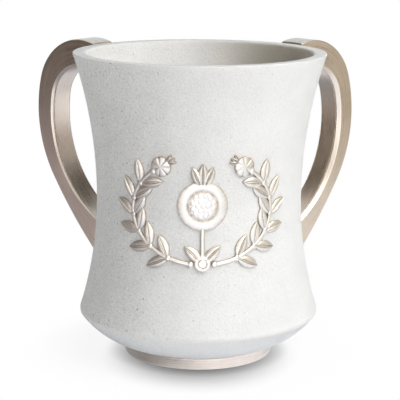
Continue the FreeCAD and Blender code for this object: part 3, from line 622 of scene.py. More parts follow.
@dataclass(frozen=True)
class Finish:
    """A procedural finish: each kind works out its maps, and its material wires them to one shader.

    Attributes:
        name: the material's name.
        metallic: 1 for bare metal, 0 for anything else.
        specular: how strongly a surface that isn't metal mirrors.
        roughness: the lowest and the highest roughness.
        relief_depth: distance that a height of 1 stands for.
        relief_share: share of the relief that is kept.
    """

    name: str = ""
    metallic: float = 1.0
    specular: float = 0.5
    roughness: Pair = (0.3, 0.4)
    relief_depth: float = 0.01 * MM
    relief_share: float = 0.5

    def maps(self, nodes: Canvas) -> Maps:
        """Works out the finish's colour, roughness and height over the surface."""
        raise NotImplementedError

    def build(self, effects: Effects) -> Material:
        """Makes the material.

        Args:
            effects: the shared node groups.

        Returns:
            The material.
        """
        material = bpy.data.materials.new(self.name)
        nodes = Canvas(cleared(material), effects)
        colour, rough, height = self.maps(nodes)
        relief = nodes.add(
            "ShaderNodeBump", Height=height, Distance=self.relief_depth, Strength=self.relief_share,
        )
        shader = nodes.add(
            "ShaderNodeBsdfPrincipled", Base_Color=colour, Roughness=rough, Metallic=self.metallic,
            Specular_IOR_Level=self.specular, Normal=relief["Normal"],
        )
        nodes.add("ShaderNodeOutputMaterial", Surface=shader[0])
        return material


@dataclass(frozen=True)
class StoneFinish(Finish):
    """Matt off-white cast stone with fine dark specks and a sand-like grain."""

    name: str = "cast_stone"
    metallic: float = 0.0
    specular: float = 0.30
    roughness: Pair = (0.72, 0.84)
    relief_depth: float = 0.60 * MM
    relief_share: float = 0.55
    colour: Colour = (0.800, 0.800, 0.790, 1.0)
    plain_colour: Colour = (0.795, 0.802, 0.815, 1.0)
    faint_colour: Colour = (0.50, 0.49, 0.47, 1.0)
    light_colour: Colour = (0.88, 0.88, 0.87, 1.0)
    dark_colour: Colour = (0.18, 0.165, 0.15, 1.0)
    # Each layer of specks: cells per metre, size, share of filled cells, colour and strength
    layers: tuple[tuple, ...] = (
        (1500.0, 0.46, 0.42, faint_colour, 0.26),
        (1250.0, 0.46, 0.30, light_colour, 0.36),
        (720.0, 0.34, 0.42, faint_colour, 0.36),
        (470.0, 0.20, 0.34, dark_colour, 0.40),
    )
    pit_share: float = 0.4
    # Painted light and shade on the cup's inner side: a lighter tone on the lit left and a darker, warmer
    # tone in the shade on the right
    painted_lit_tone: Colour = (1.055, 1.050, 1.035, 1.0)
    painted_shade_tone: Colour = (0.785, 0.715, 0.605, 1.0)
    painted_shade_places: Pair = (-6.0 * MM, 43.0 * MM)
    # A place belongs to the inner side where its outward distance times its facing falls below these
    inner_facing: Pair = (-0.03, -0.005)
    inner_calm: float = 0.45
    # The specks fade out over this band of heights at the shoulder, and the plain coat begins
    speck_heights: Pair = (17.8 * MM, 19.6 * MM)
    # How much the specks and grain stand out across the cup, from its left side to its right: painted
    # shading, stronger on the shaded left and fainter on the lit right
    shaded_left_strength: float = 2.8
    middle_strength: float = 1.05
    lit_right_strength: float = 0.55
    side_reach: float = 42.0 * MM
    fine_tones: tuple[float, ...] = (0.25, 0.75, -0.050, 0.040)
    cloud_tones: Pair = (0.97, 1.02)

    def maps(self, nodes: Canvas) -> Maps:
        """Works out the stone's maps.

        Args:
            nodes: the material's nodes.

        Returns:
            Its colour, roughness and height.
        """
        axes = nodes.axes(nodes.place)
        specked = nodes.span(axes["Z"], *self.speck_heights, 0.0, 1.0)
        # Painted shading: the specks and grain stand out more on the shaded left and less on the lit right
        leftward = nodes.span(axes["X"], -self.side_reach, 0.0, self.shaded_left_strength, self.middle_strength)
        right_share = self.lit_right_strength / self.middle_strength
        rightward = nodes.span(axes["X"], 0.0, self.side_reach, 1.0, right_share)
        facing = nodes.add("ShaderNodeTexCoord")["Normal"]
        level_place = nodes.vector("MULTIPLY", nodes.place, (1.0, 1.0, 0.0))[0]
        outward = nodes.vector("DOT_PRODUCT", level_place, facing)["Value"]
        inside = nodes.span(outward, *self.inner_facing, 1.0, 0.0)
        calm = nodes.math("SUBTRACT", 1.0, nodes.math("MULTIPLY", inside, self.inner_calm))
        strong = nodes.math("MULTIPLY", nodes.math("MULTIPLY", leftward, rightward), calm)
        cloud, fine = nodes.grain(cloud=60.0, fine=1150.0)
        fine_tone = nodes.math("MULTIPLY", nodes.span(fine, *self.fine_tones), strong)
        tone = nodes.math("MULTIPLY", nodes.vary(cloud, *self.cloud_tones), nodes.math("ADD", fine_tone, 1.0))
        tint = nodes.mix(specked, self.plain_colour, self.colour)
        # Painted shade on the inner side, from the lit left to the shaded right
        painted_inner_shade = nodes.span(axes["X"], *self.painted_shade_places, 0.0, 1.0)
        tint = nodes.mix(inside, tint, nodes.mix(painted_inner_shade, self.painted_lit_tone, self.painted_shade_tone), "MULTIPLY")
        colour = nodes.scaled(tint, tone)
        shown_share = nodes.math("MULTIPLY", specked, strong)
        for cells, size, filled, speck, strength in self.layers:
            mask = nodes.math("MULTIPLY", nodes.specks(cells, size, filled), strength)
            shown = nodes.math("MULTIPLY", mask, shown_share, clamp=True)
            colour = nodes.mix(shown, colour, speck)
        colour = nodes.mix(nodes.edge_mask(scale=300.0, amount=0.35), colour, self.light_colour)
        # The dark specks of the last layer are pits
        height = nodes.math("SUBTRACT", fine, nodes.math("MULTIPLY", shown, self.pit_share))
        return colour, nodes.vary(fine, *self.roughness), height


@dataclass(frozen=True)
class SatinMetal(Finish):
    """Satin metal, brushed along its length, with a champagne tone and lighter edges.

    Attributes:
        lines: brushed lines per metre.
        stretch: how much shorter a line's noise is along than across.
    """

    name: str = "satin_champagne"
    roughness: Pair = (0.26, 0.36)
    relief_depth: float = 0.012 * MM
    colour: Colour = (0.640, 0.545, 0.440, 1.0)
    edge_colour: Colour = (0.760, 0.690, 0.600, 1.0)
    lines: float = 2600.0
    stretch: float = 0.02
    line_share: float = 0.8
    cloud_tones: Pair = (0.955, 1.035)
    line_tones: Pair = (0.93, 1.06)
    cloud_roughness: Pair = (-0.02, 0.02)

    def maps(self, nodes: Canvas) -> Maps:
        """Works out the brushed metal's maps.

        Args:
            nodes: the material's nodes.

        Returns:
            Its colour, roughness and height.
        """
        cloud, fine = nodes.grain(cloud=70.0, fine=900.0)
        brushed = nodes.brushed(self.lines, self.stretch)
        cloud_tone, line_tone = nodes.vary(cloud, *self.cloud_tones), nodes.vary(brushed, *self.line_tones)
        # The metal is lighter along the edge mask: the corners of the handles' bevels and of the foot ring
        tint = nodes.mix(nodes.edge_mask(scale=500.0, amount=0.75), self.colour, self.edge_colour)
        colour = nodes.scaled(tint, nodes.math("MULTIPLY", cloud_tone, line_tone))
        line_rough = nodes.vary(brushed, *self.roughness)
        rough = nodes.math("ADD", line_rough, nodes.vary(cloud, *self.cloud_roughness))
        grained = nodes.math("MULTIPLY", fine, 1 - self.line_share)
        return colour, rough, nodes.math("MULTIPLY_ADD", brushed, self.line_share, grained)


@dataclass(frozen=True)
class ReliefMetal(Finish):
    """Pale champagne castings, pale on their crowns, with painted shade in their hollows and round their
    edges.
    """

    name: str = "champagne_casting"
    roughness: Pair = (0.36, 0.45)
    relief_depth: float = 0.02 * MM
    crown_colour: Colour = (0.715, 0.675, 0.605, 1.0)
    hollow_shade_colour: Colour = (0.360, 0.285, 0.215, 1.0)
    hollow_roughness: float = 0.25
    cloud_tones: Pair = (0.94, 1.04)
    fine_tones: Pair = (0.97, 1.02)

    def maps(self, nodes: Canvas) -> Maps:
        """Works out the castings' maps.

        Args:
            nodes: the material's nodes.

        Returns:
            Their colour, roughness and height.
        """
        cloud, fine = nodes.grain(cloud=260.0, fine=2200.0)
        # Painted shade: the castings darken to brown in their grooves, veins, creases and round their edges
        hollow = nodes.edge_mask(scale=900.0, amount=1.0)
        tint = nodes.mix(hollow, self.crown_colour, self.hollow_shade_colour)
        cloud_tone, fine_tone = nodes.vary(cloud, *self.cloud_tones), nodes.vary(fine, *self.fine_tones)
        colour = nodes.scaled(tint, nodes.math("MULTIPLY", cloud_tone, fine_tone))
        rough = nodes.math("MULTIPLY_ADD", hollow, self.hollow_roughness, nodes.vary(fine, *self.roughness))
        return colour, rough, fine


@dataclass(frozen=True)
class RubberFinish(Finish):
    """Matt dark rubber with a fine open grain."""

    name: str = "foot_rubber"
    metallic: float = 0.0
    roughness: Pair = (0.72, 0.90)
    relief_depth: float = 0.06 * MM
    relief_share: float = 0.6
    colour: Colour = (0.055, 0.053, 0.050, 1.0)
    dusty_colour: Colour = (0.12, 0.115, 0.11, 1.0)
    dust: tuple[float, ...] = (0.4, 0.7, 0.0, 0.6)

    def maps(self, nodes: Canvas) -> Maps:
        """Works out the rubber's maps.

        Args:
            nodes: the material's nodes.

        Returns:
            Its colour, roughness and height.
        """
        cloud, fine = nodes.grain(cloud=120.0, fine=2600.0)
        pores = nodes.specks(cells=1400.0, size=0.35, filled=0.5)
        colour = nodes.mix(nodes.span(cloud, *self.dust), self.colour, self.dusty_colour)
        return colour, nodes.vary(fine, *self.roughness), nodes.math("SUBTRACT", fine, pores)


@dataclass(frozen=True)
class SteelFinish(Finish):
    """Plain drawn steel of the dowels, with a fine cloudy tone."""

    name: str = "drawn_steel"
    roughness: Pair = (0.28, 0.42)
    relief_share: float = 0.4
    colour: Triple = (0.56, 0.56, 0.57)
    cloud_tones: Pair = (0.9, 1.05)

    def maps(self, nodes: Canvas) -> Maps:
        """Works out the steel's maps.

        Args:
            nodes: the material's nodes.

        Returns:
            Its colour, roughness and height.
        """
        cloud, fine = nodes.grain(cloud=500.0, fine=4000.0)
        colour = nodes.scaled(self.colour, nodes.vary(cloud, *self.cloud_tones))
        return colour, nodes.vary(fine, *self.roughness), fine


def dress(surface: Surface, name: str, material: Material, slot: str, *replaced: str) -> None:
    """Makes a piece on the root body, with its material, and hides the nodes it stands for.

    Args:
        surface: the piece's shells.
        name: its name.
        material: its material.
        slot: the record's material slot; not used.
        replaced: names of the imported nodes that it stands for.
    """
    piece = surface.build(name)
    piece.data.materials.append(material)
    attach(piece, "root")
    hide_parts(*replaced)
    log.info("%s: %d faces in %s", piece.name, len(piece.data.polygons), material.name)


@dataclass
class CupBody:
    """The cast stone body: a waisted shell with a thick rounded lip and a bowl-shaped underside."""

    wall: CupWall
    belly_arc: float = 39.0 * MM
    foot_radius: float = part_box("foot_ring")[1].x
    seat_height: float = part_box("cup_body")[0].z
    recess_radius: float = 29.1 * MM
    recess_depth: float = 2.1 * MM
    rim_outer_round: float = 0.35 * MM
    rim_inner_round: float = 1.5 * MM
    shoulder_round: float = 2.4 * MM
    rim_wall: float = 6.0 * MM
    waist_wall: float = 5.2 * MM
    shoulder_wall: float = 6.0 * MM
    floor_thickness: float = 8.0 * MM
    floor_round: float = 12.0 * MM
    wear_width: float = 1.6 * MM
    segments: int = 240

    def belly(self) -> Array:
        """The convex arc from the foot ring's seat out to the shoulder.

        Returns:
            Its points. The centre lies square to the chord's middle, on the axis' side.
        """
        foot = np.array([self.foot_radius, self.seat_height])
        shoulder = np.array([self.wall.shoulder_radius, self.wall.shoulder_height])
        rise = math.sqrt(self.belly_arc ** 2 - (np.linalg.norm(shoulder - foot) / 2) ** 2)
        along = unit(shoulder - foot)
        centre = (foot + shoulder) / 2 + rise * np.array([-along[1], along[0]])
        return arc(tuple(centre), self.belly_arc, direction(centre, foot), direction(centre, shoulder), 30)

    def outside(self) -> Array:
        """The wall from the shoulder to the rim, evenly spaced in height."""
        height = np.linspace(self.wall.shoulder_height, self.wall.rim_height, 86)
        return np.stack([self.wall.radius(height), height], axis=1)

    def inside(self) -> Array:
        """The cavity from the lip down to the axis.

        Returns:
            The points of two arcs, which follow the wall's, of the floor's fillet and of the flat floor.
        """
        wall = self.wall
        waist = wall.waist_radius - self.waist_wall
        upper = flare(wall.rim_radius - self.rim_wall - waist, wall.rim_height - wall.waist_height)
        lower = flare(
            wall.shoulder_radius - self.shoulder_wall - waist, wall.waist_height - wall.shoulder_height,
        )
        floor = self.seat_height + self.floor_thickness
        drop = wall.waist_height - floor - self.floor_round
        reach = math.sqrt((lower + self.floor_round) ** 2 - drop ** 2)
        fillet_across = waist + lower - reach
        turn = math.atan2(drop, reach)
        rim_turn = math.pi - math.asin((wall.rim_height - wall.waist_height) / upper)
        return np.concatenate([
            arc((waist + upper, wall.waist_height), upper, rim_turn, math.pi, 50),
            arc((waist + lower, wall.waist_height), lower, math.pi, math.pi + turn, 40)[1:],
            arc((fillet_across, floor + self.floor_round), self.floor_round, turn, -QUARTER_TURN, 22)[1:],
            line((fillet_across, floor), (0.0, floor), 14)[1:],
        ])

    def build(self, material: Material) -> None:
        """Turns the shell's whole section, from the axis below to the axis on the floor inside.

        Args:
            material: the stone.
        """
        wall = self.wall
        seat, ceiling = self.seat_height, self.seat_height + self.recess_depth
        recess = np.concatenate([
            line((0.0, ceiling), (self.recess_radius, ceiling), 6),
            line((self.recess_radius, ceiling), (self.recess_radius, seat), 3)[1:],
            line((self.recess_radius, seat), (self.foot_radius, seat), 4)[1:],
        ])
        inside = self.inside()
        lip = line((wall.rim_radius, wall.rim_height), tuple(inside[0]), 12)
        shell = rounded(self.belly(), self.outside(), self.shoulder_round, 12)
        shell = rounded(shell, lip, self.rim_outer_round, 14)
        shell = rounded(shell, inside, self.rim_inner_round, 16)
        section = np.concatenate([recess, shell[1:]])
        edge_marks = (tuple(lip[0]), tuple(lip[-1]), (wall.shoulder_radius, wall.shoulder_height))
        patch = lathe(section, near(section, edge_marks, self.wear_width), self.segments)
        dress(Surface().add(patch), "stone_cup", material, "stone_body", "cup_body")


@dataclass
class FootRing:
    """The champagne ring under the cup, with its spigot, bore and pad recess."""

    lower_radius: float = 33.2 * MM
    upper_radius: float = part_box("foot_ring")[1].x
    bottom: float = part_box("foot_ring")[0].z
    spigot_top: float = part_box("foot_ring")[1].z
    top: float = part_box("cup_body")[0].z
    spigot_radius: float = 29.0 * MM
    bore_radius: float = 24.0 * MM
    recess_radius: float = 30.2 * MM
    recess_top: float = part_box("base_pad")[1].z
    lower_round: float = 0.7 * MM
    upper_round: float = 0.35 * MM
    wear_width: float = 0.45 * MM
    segments: int = 240

    def build(self, material: Material) -> None:
        """Turns the ring's closed section about the axis.

        Args:
            material: the metal of the ring.
        """
        lower, upper = (self.lower_radius, self.bottom), (self.upper_radius, self.top)
        under = line((self.recess_radius, self.bottom), lower, 5)
        side = rounded(under, line(lower, upper, 12), self.lower_round, 10)
        outer = rounded(side, line(upper, (self.spigot_radius, self.top), 6), self.upper_round, 8)
        spigot = [
            (self.spigot_radius, self.spigot_top), (self.bore_radius, self.spigot_top),
            (self.bore_radius, self.recess_top), (self.recess_radius, self.recess_top),
        ]
        section = np.concatenate([outer, spigot])
        patch = lathe(section, near(section, (lower, upper), self.wear_width), self.segments, True)
        dress(Surface().add(patch), "champagne_foot_ring", material, "champagne_metal", "foot_ring")


@dataclass
class FootPad:
    """The soft disc under the ring, slightly rounded where it meets the ground."""

    radius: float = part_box("base_pad")[1].x
    thickness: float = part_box("base_pad")[1].z
    edge_round: float = 0.4 * MM
    segments: int = 180

    def build(self, material: Material) -> None:
        """Turns the pad's section about the axis.

        Args:
            material: the rubber.
        """
        side = line((self.radius, 0.0), (self.radius, self.thickness), 4)
        below = rounded(line((0.0, 0.0), (self.radius, 0.0), 12), side, self.edge_round, 8)
        section = np.concatenate([below, line((self.radius, self.thickness), (0.0, self.thickness), 8)[1:]])
        patch = lathe(section, np.zeros(len(section)), self.segments)
        dress(Surface().add(patch), "rubber_foot_pad", material, "foot_pad", "base_pad")


@dataclass
class BandHandle:
    """One cast band handle: a flat band, bevelled round the grip, whose ends are shaped to the wall.

    Sizes across are counted from the cup's axis and heights from the ground.
    """

    side: Side
    wall: CupWall
    sweep: float = math.radians(38)
    width: float = 13.5 * MM
    far_radius: float = 89.99 * MM
    top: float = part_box("handle_right")[1].z
    top_slope: float = math.radians(18)
    widest_drop: float = 34.0 * MM
    corner_radius: float = 25.0 * MM
    side_radius: float = 60.0 * MM
    tail_radius: float = 220.0 * MM
    tail_drop: float = 65.5 * MM
    grip_far_radius: float = 80.9 * MM
    grip_top_drop: float = 12.2 * MM
    grip_widest_drop: float = 36.0 * MM
    grip_corner_radius: float = 17.8 * MM
    grip_side_radius: float = 55.0 * MM
    grip_last_turn: float = -math.radians(79)
    bevel: float = 1.7 * MM
    # The grip's rounds, from the groove to the side, each as a share of this radius and a count of points
    bevel_round: float = 0.112 * MM
    rounds: tuple[tuple[float, int], ...] = ((1.0, 4), (0.5, 3), (0.5, 3), (1.0, 4), (1.4, 6))
    # A fine groove parts the bevel from the grip. Its floor lies between these shares of its width
    groove_width: float = 0.55 * MM
    groove_depth: float = 0.42 * MM
    groove_floor_shares: Pair = (0.7, 0.3)
    # The bevel and its groove have these shares of their size at these shares of the way along the grip
    bevel_places: tuple[float, ...] = (0.13, 0.32, 0.62, 0.95)
    bevel_shares: tuple[float, ...] = (0.62, 1.0, 1.0, 0.80)
    smallest_share: float = 0.30
    side_lead: float = 1.0 * MM
    edge_round: float = 0.8 * MM
    wear_width: float = 0.45 * MM
    usual_thickness: float = 9.0 * MM
    wall_gap: float = 0.1 * MM
    # Both outlines start and end this far inside the wall, before the ends are cut to it
    hidden_radius: float = 36.0 * MM
    rows: int = 330
    cap_steps: int = 6
    side_points: int = 8

    def back_outline(self) -> Array:
        """The back of the band from above the rim, round the corner and the side, to the lower end.

        Returns:
            The points of a line that falls to the rim, then of three arcs that touch each other.
        """
        side_centre = (self.far_radius - self.side_radius, self.top - self.widest_drop)
        corner_centre = tangent_centre(
            side_centre, self.side_radius - self.corner_radius, self.top - self.corner_radius,
        )
        corner_end = direction(side_centre, corner_centre)
        tail_turn = -math.asin((self.tail_drop - self.widest_drop) / self.side_radius)
        longer = self.tail_radius - self.side_radius
        tail_centre = (
            side_centre[0] - longer * math.cos(tail_turn), side_centre[1] - longer * math.sin(tail_turn),
        )
        tail_end = -math.acos((self.hidden_radius - self.wall_gap - tail_centre[0]) / self.tail_radius)
        corner = arc(corner_centre, self.corner_radius, QUARTER_TURN + self.top_slope, corner_end, 400)
        fall = (corner[0, 0] - self.hidden_radius) * math.tan(self.top_slope)
        slope = line((self.hidden_radius, corner[0, 1] - fall), tuple(corner[0]), 60)
        side = arc(side_centre, self.side_radius, corner_end, tail_turn, 400)
        tail = arc(tail_centre, self.tail_radius, tail_turn, tail_end, 500)
        return np.concatenate([slope, corner[1:], side[1:], tail[1:]])

    def grip_outline(self) -> tuple[Array, Array]:
        """The grip side of the band, in the same order: a level line, a corner arc and a side arc.

        Returns:
            The points, and at each the direction square to the grip, towards the back.
        """
        side_centre = (self.grip_far_radius - self.grip_side_radius, self.top - self.grip_widest_drop)
        grip_top = self.top - self.grip_top_drop
        corner_centre = tangent_centre(
            side_centre, self.grip_side_radius - self.grip_corner_radius, grip_top - self.grip_corner_radius,
        )
        corner_end = direction(side_centre, corner_centre)
        corner_turns = np.linspace(QUARTER_TURN, corner_end, 400)
        side_turns = np.linspace(corner_end, self.grip_last_turn, 700)
        level = line((self.hidden_radius, grip_top), (corner_centre[0], grip_top), 300)
        corner = arc(corner_centre, self.grip_corner_radius, QUARTER_TURN, corner_end, len(corner_turns))
        side = arc(side_centre, self.grip_side_radius, corner_end, self.grip_last_turn, len(side_turns))
        turns = np.concatenate([np.full(len(level), QUARTER_TURN), corner_turns[1:], side_turns[1:]])
        return np.concatenate([level, corner[1:], side[1:]]), np.stack([np.cos(turns), np.sin(turns)], axis=1)

    def thickness(self, grip: Array, out: Array) -> Array:
        """Distance from the grip to the back, measured square to the grip.

        For each place on the grip it is where the back's outline crosses that square line, found between
        the two outline points that lie on either side of it.

        Args:
            grip: places on the grip, count by 2.
            out: directions square to the grip, count by 2.

        Returns:
            The thicknesses.
        """
        offset = self.back_outline()[None, :, :] - grip[:, None, :]
        aside = out[:, None, 0] * offset[..., 1] - out[:, None, 1] * offset[..., 0]
        ahead = (out[:, None, :] * offset).sum(axis=-1)
        first = ((aside[:, :-1] * aside[:, 1:] <= 0) & (ahead[:, :-1] > 0)).argmax(axis=1)
        rows = np.arange(len(grip))
        share = aside[rows, first] / (aside[rows, first] - aside[rows, first + 1])
        return (1 - share) * ahead[rows, first] + share * ahead[rows, first + 1]

    def section(self, scale: float) -> tuple[Array, Array, Array]:
        """The band's closed section: distance from the grip as a fixed part plus a share of the thickness.

        Half of it runs from the middle of the grip over the groove, the bevel, the side and the rounded
        back corner to the middle of the back, and the other half is its mirror image.

        Args:
            scale: size of the bevel and its groove as a share of the full one.

        Returns:
            The fixed part and the offset across the width, count by 2, the share of the thickness, and
            the edge value.
        """
        half, bevel = self.width / 2, self.bevel * scale
        depth, groove, flat = self.groove_depth * scale, self.groove_width * scale, half - bevel
        floor = [(depth, flat - share * groove) for share in self.groove_floor_shares]
        corners = [(0.0, flat - groove), *floor, (0.0, flat), (bevel, half), (bevel + self.side_lead, half)]
        front = line((0.0, 0.0), corners[0], 9)
        for corner, after, (share, count) in zip(corners, corners[1:], self.rounds):
            front = rounded(front, line(corner, after, 5), share * self.bevel_round * scale, count)
        side = line((-2 * self.edge_round, half), (0.0, half), 3)
        back_corner = rounded(side, line((0.0, half), (0.0, 0.0), 9), self.edge_round, 8)
        between = line(tuple(front[-1]), tuple(back_corner[0]), self.side_points)[1:-1]
        half_loop = np.concatenate([front, between, back_corner])
        rising = np.linspace(0, 1, self.side_points)[1:-1]
        shares = np.concatenate([np.zeros(len(front)), rising, np.ones(len(back_corner))])
        loop = np.concatenate([half_loop, (half_loop * (1, -1))[::-1][1:-1]])
        loop_shares = np.concatenate([shares, shares[::-1][1:-1]])
        folded = np.abs(loop)
        gap = np.hypot(loop[:, 0], folded[:, 1] - half) + self.usual_thickness * (1 - loop_shares)
        for mark in ((0.0, flat), (bevel, half)):
            mark_gap = np.linalg.norm(folded - mark, axis=1) + self.usual_thickness * loop_shares
            gap = np.minimum(gap, mark_gap)
        return loop, loop_shares, bell(gap, self.wear_width)

    def turned(self, across: Array, aside: Array, height: Array) -> Array:
        """Turns places in the handle's own plane to its place round the cup's axis.

        Args:
            across: distances from the axis.
            aside: offsets across the band.
            height: heights.

        Returns:
            The places.
        """
        angle = self.sweep if self.side is Side.RIGHT else math.pi - self.sweep
        x = across * math.cos(angle) - aside * math.sin(angle)
        y = across * math.sin(angle) + aside * math.cos(angle)
        return np.stack([x, y, height], axis=-1)

    def cap(self, aside: Array, height: Array, uv: Array) -> Patch:
        """Closes an end: the loop drawn in to its middle in steps, each step laid on the wall's curve.

        Args:
            aside: offsets of the loop across the band.
            height: heights of the loop.
            uv: surface coordinates of the loop, with the first repeated.

        Returns:
            The patch, from the middle out to the loop.
        """
        spread = np.linspace(1, 0, self.cap_steps)[::-1, None]
        ring_aside = aside.mean() + spread * (aside - aside.mean())
        ring_height = height.mean() + spread * (height - height.mean())
        across = np.sqrt((self.wall.radius(ring_height) + self.wall_gap) ** 2 - ring_aside ** 2)
        points = self.turned(across, ring_aside, ring_height)
        return Patch(points, np.broadcast_to(uv, (self.cap_steps, *uv.shape)), np.zeros(across.shape))

    def build(self, material: Material) -> None:
        """Makes the handle.

        Each line along the band is cut where it meets the wall, so both ends lie on the wall's curve. The
        ends are closed by caps on that curve.

        Args:
            material: the metal of the handles.
        """
        grip, out = self.grip_outline()
        thickness, along = self.thickness(grip, out), lengths_along(grip)
        loop, shares, edge = self.section(1.0)
        small_loop = self.section(self.smallest_share)[0]

        def lines(position: Array) -> tuple[Array, Array, Array]:
            """Lays the section at positions along the grip.

            Args:
                position: rows of positions, one column for each point of the section.

            Returns:
                Distances from the axis, offsets across the band and heights.
            """
            scale = np.interp(position / along[-1], self.bevel_places, self.bevel_shares)
            size = (scale - self.smallest_share) / (1 - self.smallest_share)
            depth = small_loop[:, 0] + size * (loop - small_loop)[:, 0]
            depth = depth + shares * np.interp(position, along, thickness)
            aside = small_loop[:, 1] + size * (loop - small_loop)[:, 1]
            across = np.interp(position, along, grip[:, 0]) + depth * np.interp(position, along, out[:, 0])
            height = np.interp(position, along, grip[:, 1]) + depth * np.interp(position, along, out[:, 1])
            return across, aside, height

        across, aside, height = lines(np.broadcast_to(along[:, None], (len(along), len(loop))))
        outside = np.hypot(across, aside) - self.wall.radius(height) - self.wall_gap
        columns = np.arange(len(loop))

        def where(index: Array) -> Array:
            """Finds where each line meets the wall.

            Args:
                index: the last row of the table before the wall's surface.

            Returns:
                The positions along the grip, between that row and the next.
            """
            before, after = outside[index, columns], outside[index + 1, columns]
            share = before / (before - after)
            return (1 - share) * along[index] + share * along[index + 1]

        first = ((outside[:-1] < 0) & (outside[1:] >= 0)).argmax(axis=0)
        leaving = (outside[:-1] >= 0) & (outside[1:] < 0)
        last = len(leaving) - 1 - leaving[::-1].argmax(axis=0)
        share = np.linspace(0, 1, self.rows)[:, None]
        position = (1 - share) * where(first) + share * where(last)
        across, aside, height = lines(position)
        around = lengths_along(np.column_stack([loop[:, 0] + shares * self.usual_thickness, loop[:, 1]]))
        around = np.append(around, around[-1] + around[1] - around[0])
        uv = np.stack([
            np.concatenate([position, position[:, :1]], axis=1),
            np.broadcast_to(around, (self.rows, len(around))),
        ], axis=-1)
        band = Patch(self.turned(across, aside, height), uv, np.broadcast_to(edge, across.shape))
        upper, lower = (self.cap(aside[row], height[row], uv[row]) for row in (0, -1))
        lower.points = lower.points[::-1]
        name, node = "champagne_handle_" + self.side.word, "handle_" + self.side.word
        dress(Surface().add(band, upper, lower), name, material, "champagne_metal", node)


def over_and_under(over: Array, below: int) -> tuple[Array, Array]:
    """A motif's places across, from -1 to 1 over its top and back underneath, and which are on top."""
    cross = np.concatenate([over, np.linspace(1, -1, below)])[None, :]
    return cross, np.arange(cross.size)[None, :] < len(over)


@dataclass(frozen=True)
class Dome:
    """A round motif: a dome whose height follows a circle.

    Attributes:
        radius: its radius.
        edge_share: height of its edge as a share of its top's.
        height_share: its own height as a share of the casting's.
        lobes: number of creases that run from its middle to its edge.
        ring: radius of a round groove as a share of its own, or 0 for none.
    """

    radius: float
    edge_share: float
    height_share: float = 1.0
    lobes: int = 0
    ring: float = 0.0


